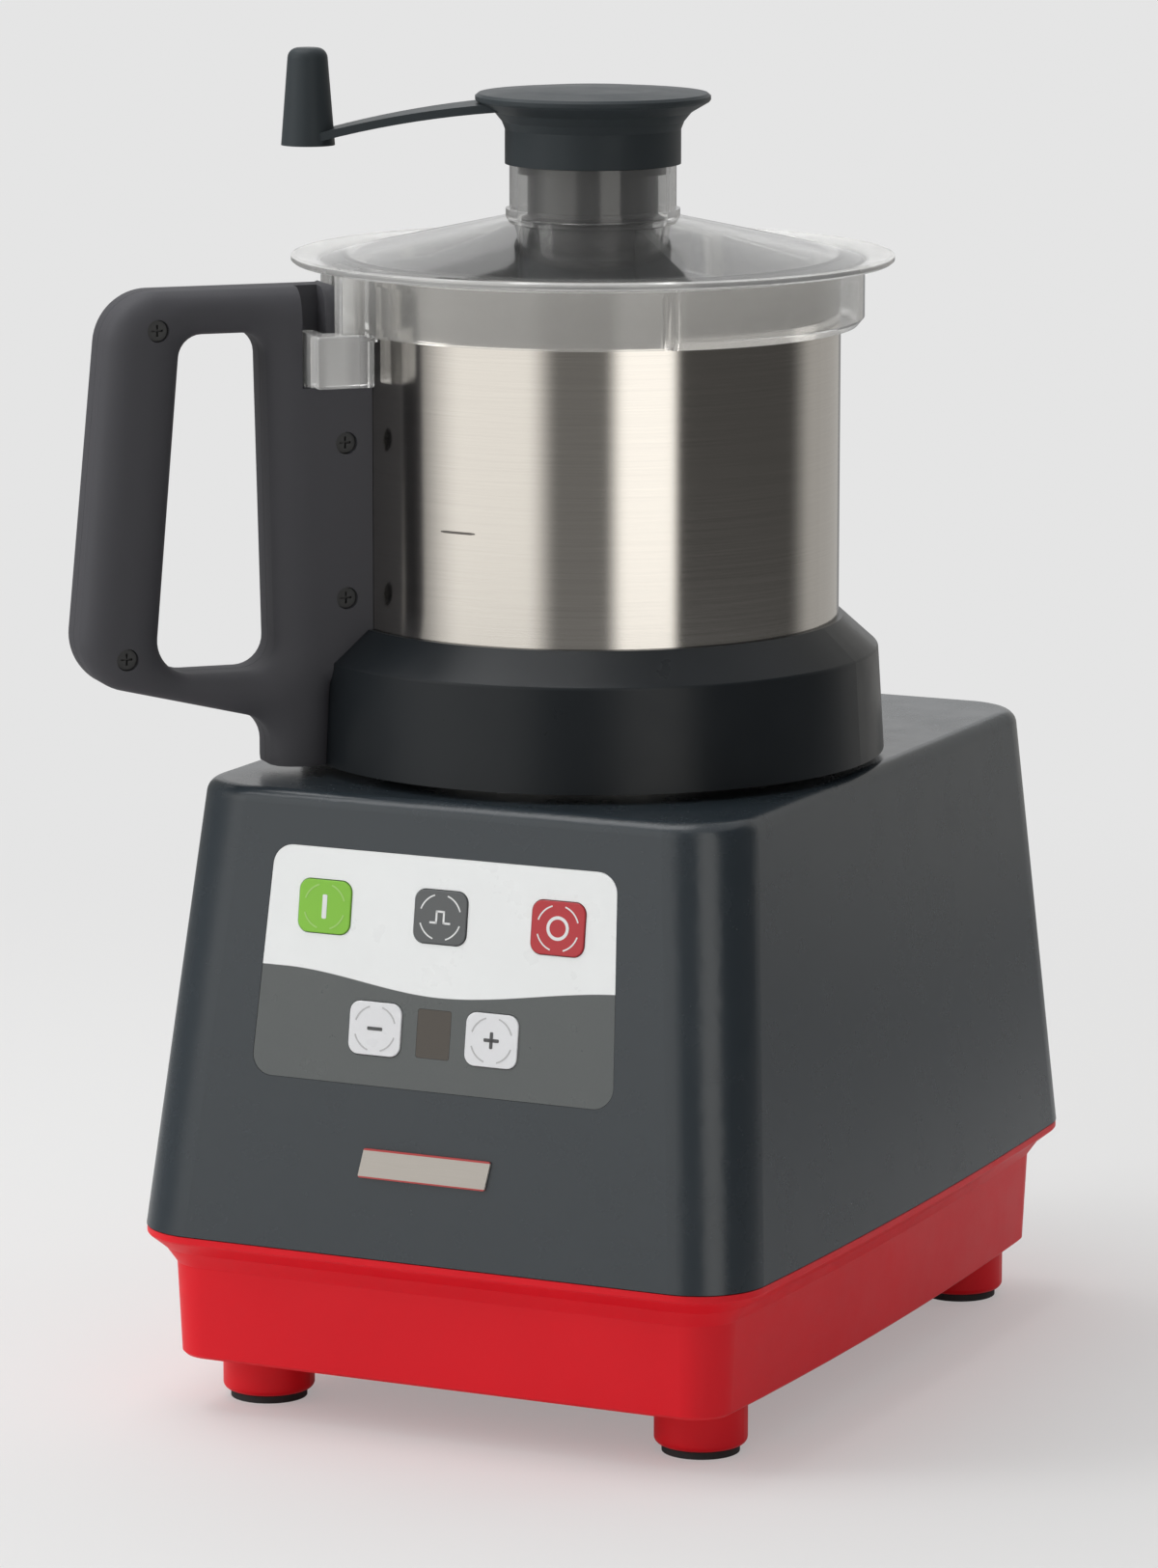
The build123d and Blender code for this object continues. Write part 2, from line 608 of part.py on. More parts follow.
# ---- Base ----
def housing_shell():
    outer = walled([(HOUSING_BOTTOM_Z, 0, 0), (HOUSING_TOP_Z, 1, 0)])
    top_face = outer.faces().sort_by(Axis.Z)[-1]
    outer = fillet(top_face.edges(), HOUSING_TOP_FILLET)
    ceiling = 1 - DECK / HOUSING_HEIGHT
    inner = walled([(HOUSING_BOTTOM_Z, 0, WALL), (DECK_UNDERSIDE_Z, ceiling, WALL)])
    boss_low = HOUSING_BOTTOM_Z + BOSS_RISE
    boss_high = boss_low + BOSS_HEIGHT
    bosses = [disc(POST_R, boss_low, boss_high, x, y) & outer for x, y in POST_PLACES]
    webs = [block(x, x + copysign(POST_WEB_LENGTH, x), y - POST_WEB / 2, y + POST_WEB / 2, boss_low + 2,
                  boss_high - BOSS_RISE) & outer for x, y in POST_PLACES]
    posts = [on_face(FRONT, x, v, disc(BOARD_POST_R, -BOARD_DEPTH, -WALL + 0.5))
             for x, v in BOARD_POSTS]
    body = joined([outer - inner] + bosses + webs + posts)
    recess = on_face(FRONT, 0, 0, panel_plate(-PANEL_RECESS, 1.0, 0.15))
    cuts = [recess]
    cuts += [on_face(FRONT, x, v, key_opening(-WALL - 1)) for x, v in KEYS.values()]
    cuts.append(on_face(FRONT, PANEL_X, SPEED_ROW_V, display_opening(-WALL - 1)))
    cuts += [on_face(FRONT, x, v, disc(SCREW_R - 0.5, -BOARD_DEPTH - 1, -WALL - 1))
             for x, v in BOARD_POSTS]
    cuts += [disc(SCREW_R + 0.05, HOUSING_BOTTOM_Z, HOUSING_BOTTOM_Z + 22, x, y)
             for x, y in POST_PLACES]
    cuts.append(disc(BEARING_R + 8, DECK_UNDERSIDE_Z - 1, HOUSING_TOP_Z + 1))
    cuts += [disc(TIE_ROD_R + 0.2, DECK_UNDERSIDE_Z - 1, HOUSING_TOP_Z + 1, x, y)
             for x, y in seat_screw_places()]
    grille_width, grille_height = GRILLE_WIDTH - 2 * GRILLE_FRAME, GRILLE_HEIGHT - 2 * GRILLE_FRAME
    cuts.append(on_face(REAR, 0, GRILLE_V, plate(grille_width + 4, grille_height + 4, -WALL - 3, 2, 3)))
    cuts.append(on_face(REAR, GLAND_X, GLAND_V, disc(GLAND_R + 0.2, -WALL - 3, 2)))
    return less(body, cuts)


def base_plinth():
    flange_top = HOUSING_BOTTOM_Z - PLINTH_GAP
    flange_low = flange_top - PLINTH_FLANGE
    bevel_mid = flange_low - PLINTH_BEVEL * 0.45
    wall_top = flange_low - PLINTH_BEVEL
    rim = 1.2
    outer = walled([
        (PLINTH_BOTTOM_Z, 0, PLINTH_INSET + PLINTH_DRAFT + rim),
        (PLINTH_BOTTOM_Z + rim, 0, PLINTH_INSET + PLINTH_DRAFT),
        (wall_top, 0, PLINTH_INSET),
        (bevel_mid, 0, PLINTH_INSET * 0.62),
        (flange_low, 0, 0.8),
        (flange_low + 0.8, 0, 0.2),
        (flange_top, 0, 0.2),
    ])
    inside = PLINTH_INSET + PLINTH_DRAFT + PLINTH_WALL
    hollow = walled([(PLINTH_BOTTOM_Z + PLINTH_FLOOR, 0, inside), (flange_top + 1, 0, inside)])
    lip_in = WALL + LIP_GAP + LIP_WALL
    lip = walled([(flange_top - 1, 0, lip_in), (flange_top + LIP_HEIGHT, 0, lip_in)])
    lip_hole = walled([(wall_top, 0, inside), (flange_top + LIP_HEIGHT + 1, 0, inside)])
    body = (outer - hollow) + (lip - lip_hole)
    for x, y in FOOT_PLACES:
        foot = disc(FOOT_R, PAD_THICKNESS, PLINTH_BOTTOM_Z + PLINTH_FLOOR, x, y)
        low_edge = foot.edges().sort_by(Axis.Z)[0]
        body = body + fillet(low_edge, FOOT_EDGE)
        body = body + disc(PAD_PLUG_R + 3, PLINTH_BOTTOM_Z, PLINTH_BOTTOM_Z + PLINTH_FLOOR + 4, x, y)
    posts = [disc(POST_R, PLINTH_BOTTOM_Z + 1, HOUSING_BOTTOM_Z + BOSS_RISE, x, y) for x, y in POST_PLACES]
    posts += [disc(POWER_POST_R, PLINTH_BOTTOM_Z + 1, POWER_BOARD_Z, x, y) for x, y in POWER_POSTS]
    body = joined([body] + posts)
    cuts = [disc(PAD_PLUG_R + 0.05, 0, PAD_THICKNESS + PAD_PLUG_HEIGHT + 0.1, x, y) for x, y in FOOT_PLACES]
    cuts += [disc(SCREW_R + 0.2, 0, HOUSING_BOTTOM_Z + 6, x, y) for x, y in POST_PLACES]
    cuts += [disc(SCREW_HEAD_R + 0.2, 0, PLINTH_BOTTOM_Z + SCREW_HEAD + 0.4, x, y) for x, y in POST_PLACES]
    cuts += [disc(SCREW_R - 0.5, POWER_BOARD_Z - 12, POWER_BOARD_Z + 1, x, y) for x, y in POWER_POSTS]
    slot_pitch = 2 * VENT_SLOT_WIDTH
    for i in range(VENT_SLOTS):
        y = (i - (VENT_SLOTS - 1) / 2) * slot_pitch
        slot = extrude(SlotOverall(VENT_SLOT_LENGTH, VENT_SLOT_WIDTH), amount=PLINTH_FLOOR + 2)
        cuts.append(Pos(0, y, PLINTH_BOTTOM_Z - 1) * slot)
    return less(body, cuts)


def foot_pads():
    pads = []
    for x, y in FOOT_PLACES:
        pad = disc(PAD_R, 0, PAD_THICKNESS, x, y)
        plug = disc(PAD_PLUG_R, PAD_THICKNESS - 0.5, PAD_THICKNESS + PAD_PLUG_HEIGHT, x, y)
        pads.append(pad + plug)
    return pads


def base_screws():
    return [screw(x, y, PLINTH_BOTTOM_Z + 0.4, HOUSING_BOTTOM_Z + 20) for x, y in POST_PLACES]


def screw(x, y, low, high, head_up=False, radius=SCREW_R):
    """A cross-head screw standing on the drive axis's direction, with its head at one end."""
    shank = disc(radius, low, high, x, y)
    if head_up:
        head = disc(SCREW_HEAD_R, high - SCREW_HEAD, high, x, y)
        cross_low, cross_high = high - SCREW_CROSS_DEPTH, high + 1
    else:
        head = disc(SCREW_HEAD_R, low, low + SCREW_HEAD, x, y)
        cross_low, cross_high = low - 1, low + SCREW_CROSS_DEPTH
    arm, thin = SCREW_CROSS / 2, SCREW_CROSS_WIDTH / 2
    cross = block(x - arm, x + arm, y - thin, y + thin, cross_low, cross_high)
    cross += block(x - thin, x + thin, y - arm, y + arm, cross_low, cross_high)
    return shank + head - cross


# ---- Control panel ----
def panel_plate(low, high, grow):
    """The panel's tapering outline as a plate in the front plane, drawn outwards by a margin."""
    half_low = PANEL_WIDTH_BOTTOM / 2 + grow
    half_top = PANEL_WIDTH_TOP / 2 + grow
    v0 = PANEL_LOW_V - grow
    v1 = PANEL_LOW_V + PANEL_HEIGHT + grow
    corners = [(PANEL_X - half_low, v0), (PANEL_X + half_low, v0), (PANEL_X + half_top, v1),
               (PANEL_X - half_top, v1)]
    outline = Polygon(*corners, align=None)
    outline = fillet(outline.vertices(), PANEL_CORNER_R + grow)
    return Pos(0, 0, low) * extrude(outline, amount=high - low)


def key_opening(low):
    """The hole that a key passes through, from a depth to just proud of the face."""
    return plate(KEY_WIDTH + 2 * KEY_GAP, KEY_HEIGHT + 2 * KEY_GAP, low, 1, KEY_CORNER_R + KEY_GAP)


def display_opening(low):
    """The hole that the display's window fills, from a depth to just proud of the face."""
    width, height = DISPLAY_WIDTH + 2 * DISPLAY_GAP, DISPLAY_HEIGHT + 2 * DISPLAY_GAP
    return plate(width, height, low, 1, DISPLAY_CORNER_R)


def panel_overlay():
    body = panel_plate(-PANEL_RECESS, -PANEL_RECESS + OVERLAY, 0)
    cuts = [Pos(x, v, 0) * key_opening(-WALL) for x, v in KEYS.values()]
    cuts.append(Pos(PANEL_X, SPEED_ROW_V, 0) * display_opening(-WALL))
    return on_face(FRONT, 0, 0, less(body, cuts))


def key(name):
    x, v = KEYS[name]
    cap = plate(KEY_WIDTH, KEY_HEIGHT, -WALL - 2 * KEY_LEDGE_GAP, KEY_PROUD, KEY_CORNER_R)
    cap = fillet(cap.edges().group_by(Axis.Z)[-1], KEY_EDGE)
    ledge_top = -WALL - KEY_LEDGE_GAP
    ledge = plate(KEY_WIDTH + 2 * KEY_LEDGE, KEY_HEIGHT + 2 * KEY_LEDGE, ledge_top - KEY_LEDGE_THICKNESS,
                  ledge_top, KEY_CORNER_R + KEY_LEDGE)
    return on_face(FRONT, x, v, cap + ledge)


def key_switches():
    top = -WALL - KEY_LEDGE_GAP - KEY_LEDGE_THICKNESS - KEY_TRAVEL - KEY_LEDGE_GAP
    low = -BOARD_DEPTH
    switches = []
    for x, v in KEYS.values():
        body = plate(SWITCH_SIZE, SWITCH_SIZE, low, top - 1.2, 0.5)
        plunger = disc(SWITCH_SIZE / 4, top - 1.3, top)
        switches.append(on_face(FRONT, x, v, body + plunger))
    return switches


def control_board():
    board = plate(BOARD_WIDTH, BOARD_HEIGHT, -BOARD_DEPTH - BOARD_THICKNESS, -BOARD_DEPTH, 2)
    board = on_face(FRONT, PANEL_X, BOARD_V, board)
    holes = [on_face(FRONT, x, v, disc(SCREW_R - 0.3, -BOARD_DEPTH - 3, -BOARD_DEPTH + 1))
             for x, v in BOARD_POSTS]
    chip = plate(14, 14, -BOARD_DEPTH - BOARD_THICKNESS - 2.4, -BOARD_DEPTH - BOARD_THICKNESS, 0.4)
    socket = plate(26, 9, -BOARD_DEPTH - BOARD_THICKNESS - 9, -BOARD_DEPTH - BOARD_THICKNESS, 0.4)
    chip = on_face(FRONT, PANEL_X + 18, BOARD_V + 4, chip)
    socket = on_face(FRONT, PANEL_X - 34, BOARD_V - 22, socket)
    return joined([less(board, holes), chip, socket])


def board_screws():
    low = -BOARD_DEPTH - BOARD_THICKNESS
    screws = []
    for x, v in BOARD_POSTS:
        shank = disc(SCREW_R - 0.55, low - 0.5, low + 9)
        head = disc(SCREW_R + 1, low - 1.8, low)
        screws.append(on_face(FRONT, x, v, shank + head))
    return screws


def display_module():
    body = plate(DISPLAY_WIDTH - 1, DISPLAY_HEIGHT - 1, -BOARD_DEPTH, -WALL - 0.6, 0.5)
    return on_face(FRONT, PANEL_X, SPEED_ROW_V, body)


def display_window():
    body = plate(DISPLAY_WIDTH, DISPLAY_HEIGHT, -WALL - 0.4, -0.1, DISPLAY_CORNER_R - 0.1)
    return on_face(FRONT, PANEL_X, SPEED_ROW_V, body)


def badge_plate():
    half = BADGE_WIDTH / 2
    corners = [(-half, -BADGE_HEIGHT / 2), (half - BADGE_SLANT, -BADGE_HEIGHT / 2),
               (half, BADGE_HEIGHT / 2), (-half + BADGE_SLANT, BADGE_HEIGHT / 2)]
    outline = Polygon(*corners, align=None)
    outline = fillet(outline.vertices(), BADGE_CORNER_R)
    body = Pos(0, 0, 0.02) * extrude(outline, amount=BADGE_THICKNESS)
    return on_face(FRONT, PANEL_X, BADGE_V, body)


# ---- Motor ----
def motor_stator():
    core = ring(STATOR_BORE_R, STATOR_R, STATOR_LOW_Z, STATOR_TOP_Z)
    bolt_holes = [disc(TIE_ROD_R + 0.2, STATOR_LOW_Z - 1, STATOR_TOP_Z + 1, x, y)
                  for x, y in on_circle(TIE_ROD_CIRCLE, 4)]
    slot = block(STATOR_BORE_R - 2, STATOR_BORE_R + 3, -STATOR_SLOT_WIDTH / 2, STATOR_SLOT_WIDTH / 2,
                 STATOR_LOW_Z - 1, STATOR_TOP_Z + 1)
    return less(core, bolt_holes + around(slot, STATOR_SLOTS))


def motor_windings():
    inner = STATOR_BORE_R + 4
    outer = STATOR_R - 9
    ends = []
    for low in (STATOR_LOW_Z - WINDING_HEIGHT, STATOR_TOP_Z):
        coil = ring(inner, outer, low, low + WINDING_HEIGHT)
        ends.append(fillet(coil.edges(), 3.0))
    return ends


def end_shield(plate_low, skirt_low, skirt_high):
    """A cast end shield before its cuts: a plate, and a skirt that reaches the stator."""
    body = disc(STATOR_R, plate_low, plate_low + SHIELD_PLATE)
    return body + ring(STATOR_R - SHIELD_WALL, STATOR_R, skirt_low, skirt_high)


def upper_end_shield():
    plate_low = SHIELD_TOP_Z - SHIELD_PLATE
    body = end_shield(plate_low, STATOR_TOP_Z, plate_low + 1)
    body += ring(BEARING_LAND_R + 4, BEARING_R + 7, SHIELD_TOP_Z - 0.5, DECK_UNDERSIDE_Z)
    body = joined([body] + [disc(SHIELD_PILLAR_R, plate_low, DECK_UNDERSIDE_Z, x, y)
                            for x, y in seat_screw_places()])
    cuts = [disc(BEARING_LAND_R, plate_low - 1, DECK_UNDERSIDE_Z + 1),
            disc(BEARING_R, UPPER_BEARING_Z, DECK_UNDERSIDE_Z + 1)]
    cuts += [disc(TIE_ROD_R + 0.1, STATOR_TOP_Z - 1, SHIELD_TOP_Z - 3, x, y)
             for x, y in on_circle(TIE_ROD_CIRCLE, 4)]
    cuts += [disc(SCREW_R + 0.05, DECK_UNDERSIDE_Z - 14, DECK_UNDERSIDE_Z + 1, x, y)
             for x, y in seat_screw_places()]
    return less(body, cuts)


def lower_end_shield():
    plate_high = LOWER_SHIELD_Z + SHIELD_PLATE
    body = end_shield(LOWER_SHIELD_Z, plate_high - 1, STATOR_LOW_Z)
    body += ring(BEARING_R - 0.5, BEARING_R + 4, LOWER_SHIELD_Z, plate_high)
    half = SHIELD_WINDOW_WIDTH / 2
    window = block(BEARING_R + 8, STATOR_R - 12, -half, half, LOWER_SHIELD_Z - 1, plate_high + 1)
    cuts = [disc(BEARING_LAND_R, LOWER_SHIELD_Z - 1, plate_high + 1),
            disc(BEARING_R, LOWER_BEARING_Z, LOWER_BEARING_Z + BEARING_HEIGHT)]
    cuts += around(window, SHIELD_WINDOWS, 180 / SHIELD_WINDOWS)
    cuts += [disc(TIE_ROD_R + 0.1, LOWER_SHIELD_Z - 1, STATOR_LOW_Z + 1, x, y)
             for x, y in on_circle(TIE_ROD_CIRCLE, 4)]
    return less(body, cuts)


def bearing(low):
    """A ball bearing: two races and a ring of balls, drawn as one closed unit."""
    body = ring(SHAFT_R + SHAFT_RUN, BEARING_R - BEARING_FIT, low, low + BEARING_HEIGHT)
    groove_in, groove_out = BEARING_R * 0.62, BEARING_R * 0.8
    return less(body, [ring(groove_in, groove_out, low - 1, low + 1),
                       ring(groove_in, groove_out, low + BEARING_HEIGHT - 1, low + BEARING_HEIGHT + 1)])


def upper_bearing():
    return bearing(UPPER_BEARING_Z)


def lower_bearing():
    return bearing(LOWER_BEARING_Z)


def tie_rods():
    return [screw(x, y, LOWER_SHIELD_Z - SCREW_HEAD, SHIELD_TOP_Z - 4, radius=TIE_ROD_R)
            for x, y in on_circle(TIE_ROD_CIRCLE, 4)]


def motor_shaft():
    low = LOWER_SHIELD_Z - FAN_GAP - FAN_HEIGHT - SHAFT_TAIL
    step = SPIGOT_TOP_Z - 2
    nose = turned([(0, step), (SHAFT_NOSE_R, step), (SHAFT_NOSE_R, SHAFT_TOP_Z - 2),
                   (SHAFT_NOSE_R - 2, SHAFT_TOP_Z), (0, SHAFT_TOP_Z)])
    flats_low = CHIMNEY_TOP_Z + 1
    reach = 2 * SHAFT_NOSE_R
    flats = [block(SHAFT_FLAT, reach, -reach, reach, flats_low, SHAFT_TOP_Z + 1),
             block(-reach, -SHAFT_FLAT, -reach, reach, flats_low, SHAFT_TOP_Z + 1)]
    return disc(SHAFT_R, low, step) + less(nose, flats)


def rotor_core():
    core = ring(SHAFT_R, STATOR_BORE_R - AIR_GAP, STATOR_LOW_Z, STATOR_TOP_Z)
    bars = [disc(ROTOR_BAR_R, STATOR_LOW_Z - ROTOR_BAR_PROUD, STATOR_TOP_Z + ROTOR_BAR_PROUD, x, y)
            for x, y in on_circle(STATOR_BORE_R - AIR_GAP - 2 * ROTOR_BAR_R - 0.2, ROTOR_BARS)]
    return joined([core] + bars)


def cooling_fan():
    low = LOWER_SHIELD_Z - FAN_GAP - FAN_HEIGHT
    hub = ring(SHAFT_R, SHAFT_R + 7, low, low + FAN_HEIGHT)
    back = ring(SHAFT_R + 6, FAN_R, low, low + 2.5)
    vane = block(SHAFT_R + 6, FAN_R - 1, -FAN_BLADE / 2, FAN_BLADE / 2, low + 1, low + FAN_HEIGHT)
    return joined([hub, back] + around(vane, FAN_BLADES, 12))


# ---- Bowl seat ----
def bowl_seat():
    flange = disc(SEAT_FLANGE_R, HOUSING_TOP_Z, SEAT_FLANGE_TOP_Z)
    flange = fillet(flange.edges().sort_by(Axis.Z)[-1], 2)
    spigot = disc(SPIGOT_R, HOUSING_TOP_Z, SPIGOT_TOP_Z)
    spigot = chamfer(spigot.edges().sort_by(Axis.Z)[-1], 3)
    key_block = block(SPIGOT_R - 3, SPIGOT_R + SEAT_KEY_DEPTH, -SEAT_KEY_WIDTH / 2, SEAT_KEY_WIDTH / 2,
                      SEAT_FLANGE_TOP_Z - 1, SPIGOT_TOP_Z - 6)
    body = joined([flange, spigot] + around(key_block, SEAT_KEYS, HANDLE_AZIMUTH + 60))
    hollow = ring(SEAL_R + 6, SPIGOT_R - SEAT_WALL, HOUSING_TOP_Z - 1, SPIGOT_TOP_Z - SEAT_TOP_PLATE)
    cuts = [hollow, disc(BEARING_LAND_R, HOUSING_TOP_Z - 1, SPIGOT_TOP_Z + 1),
            disc(SEAL_R, SPIGOT_TOP_Z - SEAL_HEIGHT, SPIGOT_TOP_Z + 1)]
    head_low = SEAT_FLANGE_TOP_Z - SCREW_HEAD - 0.3
    for x, y in seat_screw_places():
        cuts.append(disc(SCREW_R + 0.3, HOUSING_TOP_Z - 1, SEAT_FLANGE_TOP_Z + 1, x, y))
        cuts.append(disc(SCREW_HEAD_R + 0.4, head_low, SEAT_FLANGE_TOP_Z + 1, x, y))
    return less(body, cuts)


def seat_screw_places():
    return on_circle(SEAT_SCREW_CIRCLE, SEAT_SCREWS, 180 / SEAT_SCREWS)


def seat_screws():
    top = SEAT_FLANGE_TOP_Z - 0.3
    return [screw(x, y, DECK_UNDERSIDE_Z - 12, top, head_up=True) for x, y in seat_screw_places()]


def shaft_seal():
    low = SPIGOT_TOP_Z - SEAL_HEIGHT
    lip = SHAFT_R + 0.1
    out = SEAL_R - 0.05
    return turned([(lip + 1.5, low), (out, low), (out, SPIGOT_TOP_Z), (lip + 3, SPIGOT_TOP_Z),
                   (lip, SPIGOT_TOP_Z - 2.4), (lip + 0.6, SPIGOT_TOP_Z - 4)])


# ---- Bowl ----
def steel_bowl():
    bore = CHIMNEY_R - CHIMNEY_WALL
    rim = BOWL_R + BOWL_RIM_LIP
    rim_low = BOWL_RIM_Z - BOWL_RIM_DEPTH
    body = turned([(bore, BOWL_FLOOR_Z), (BOWL_R, BOWL_FLOOR_Z), (BOWL_R, rim_low), (rim, rim_low),
                   (rim, BOWL_RIM_Z), (bore, BOWL_RIM_Z)])
    low_edge = body.edges().filter_by(GeomType.CIRCLE).filter_by(lambda e: abs(e.radius - BOWL_R) < 0.01)
    body = fillet(low_edge.sort_by(Axis.Z)[0], BOWL_CORNER_R)
    space = disc(BOWL_INSIDE_R, BOWL_INSIDE_Z, BOWL_RIM_Z + 1)
    space = fillet(space.edges().sort_by(Axis.Z)[0], BOWL_CORNER_R - BOWL_WALL)
    return body - space


def bowl_chimney():
    inner = CHIMNEY_R - CHIMNEY_WALL
    foot = CHIMNEY_R + CHIMNEY_FLANGE
    return turned([(inner, BOWL_INSIDE_Z), (foot, BOWL_INSIDE_Z), (foot, BOWL_INSIDE_Z + 1),
                   (CHIMNEY_R, BOWL_INSIDE_Z + 1.8), (CHIMNEY_R, CHIMNEY_TOP_Z), (inner, CHIMNEY_TOP_Z)])


def collar_profile(grow=0.0):
    """The collar's outer shape as a turned solid, drawn outwards by a margin."""
    low, high = COLLAR_LOW_Z - grow, COLLAR_TOP_Z + grow * 0.5
    return turned([(0, low), (COLLAR_LOW_R + grow, low), (COLLAR_SHOULDER_R + grow, COLLAR_SHOULDER_Z),
                   (COLLAR_TOP_R + grow, high), (0, high)])


def bowl_collar():
    body = collar_profile()
    rims = body.edges().filter_by(GeomType.CIRCLE)
    body = fillet([e for e in rims if abs(e.radius - COLLAR_SHOULDER_R) < 0.01], 1.5)
    bed = disc(BOWL_R + 0.05, WEB_TOP_Z, COLLAR_TOP_Z + 1)
    skirt_in = COLLAR_LOW_R - COLLAR_WALL
    hollow = turned([(0, COLLAR_LOW_Z - 1), (skirt_in, COLLAR_LOW_Z - 1), (skirt_in - 2, WEB_LOW_Z - 6),
                     (skirt_in - 9, WEB_LOW_Z), (0, WEB_LOW_Z)])
    sleeve_in = SPIGOT_R + SPIGOT_GAP
    sleeve = ring(sleeve_in, sleeve_in + COLLAR_SLEEVE, SLEEVE_LOW_Z, WEB_LOW_Z + 0.5)
    rib = block(sleeve_in + COLLAR_SLEEVE - 0.5, skirt_in - 1, -COLLAR_RIB / 2, COLLAR_RIB / 2,
                WEB_LOW_Z - 16, WEB_LOW_Z + 0.5)
    rib = rib & disc(skirt_in - 1, WEB_LOW_Z - 20, WEB_LOW_Z + 1)
    ribs = around(rib, COLLAR_RIBS, HANDLE_AZIMUTH + 180 / COLLAR_RIBS)
    body = joined([body - bed - hollow, sleeve] + ribs)
    key_slot = block(SPIGOT_R - 3, SPIGOT_R + SEAT_KEY_DEPTH + SPIGOT_GAP, -SEAT_KEY_WIDTH / 2 - SPIGOT_GAP,
                     SEAT_KEY_WIDTH / 2 + SPIGOT_GAP, SLEEVE_LOW_Z - 1, SPIGOT_TOP_Z)
    cuts = around(key_slot, SEAT_KEYS, HANDLE_AZIMUTH + 60)
    cuts.append(disc(CHIMNEY_R + 6, WEB_LOW_Z - 1, WEB_TOP_Z + 1))
    cuts += [disc(SCREW_R + 0.3, WEB_LOW_Z - 1, WEB_TOP_Z + 1, x, y)
             for x, y in on_circle(COLLAR_SCREW_CIRCLE, COLLAR_SCREWS, HANDLE_AZIMUTH)]
    return less(body, cuts)


def collar_screws():
    low = WEB_LOW_Z - SCREW_HEAD
    return [screw(x, y, low, WEB_TOP_Z + 0.1)
            for x, y in on_circle(COLLAR_SCREW_CIRCLE, COLLAR_SCREWS, HANDLE_AZIMUTH)]


# ---- Handle ----
def handle_outline():
    """The handle's side view: a closed loop with a stem at the bowl and a stub down to the deck."""
    lean = (HANDLE_GRIP_LOW_S - HANDLE_GRIP_TOP_S) / (HANDLE_TOP_Z - HANDLE_LOW_Z)
    under_collar_s = COLLAR_LOW_R - 5
    step_z = COLLAR_SHOULDER_Z - 10
    outer = Polyline(
        (HANDLE_ROOT_S, step_z), (HANDLE_ROOT_S, HANDLE_NECK_Z), (HANDLE_NECK_S, HANDLE_NECK_Z),
        (HANDLE_NECK_S, HANDLE_TOP_Z), (HANDLE_GRIP_TOP_S, HANDLE_TOP_Z), (HANDLE_GRIP_LOW_S, HANDLE_LOW_Z),
        (HANDLE_STEM_S, HANDLE_WEB_LOW_Z), (HANDLE_STEM_S, HANDLE_STUB_Z),
        (under_collar_s, HANDLE_STUB_Z), (under_collar_s, step_z), close=True)
    face = make_face(outer)
    radii = {
        (HANDLE_GRIP_TOP_S, HANDLE_TOP_Z): HANDLE_OUTER_R,
        (HANDLE_GRIP_LOW_S, HANDLE_LOW_Z): HANDLE_OUTER_R,
        (HANDLE_STEM_S, HANDLE_WEB_LOW_Z): HANDLE_HEEL_R,
    }
    face = fillet_at(face, radii)
    inner_top = HANDLE_TOP_Z - HANDLE_TOP_BAR
    inner_low = HANDLE_LOW_Z + 0.8
    top_s = HANDLE_GRIP_TOP_S + lean * HANDLE_TOP_BAR - HANDLE_GRIP
    low_s = HANDLE_GRIP_LOW_S - HANDLE_GRIP - 1.4
    corners = {
        (HANDLE_STEM_S + 1.5, inner_top): HANDLE_INNER_R,
        (top_s, inner_top): HANDLE_INNER_R,
        (low_s, inner_low): HANDLE_INNER_R + 4,
        (HANDLE_STEM_S - 1.5, inner_low): HANDLE_INNER_R + 2,
    }
    opening = make_face(Polyline(*corners, close=True))
    return face - fillet_at(opening, corners)


def fillet_at(face, radii):
    """Rounds the corners of a flat face that lie at given places, each with its own radius."""
    for (u, v), radius in radii.items():
        corner = face.vertices().sort_by(lambda p: hypot(p.X - u, p.Y - v))[0]
        face = fillet(corner, radius)
    return face


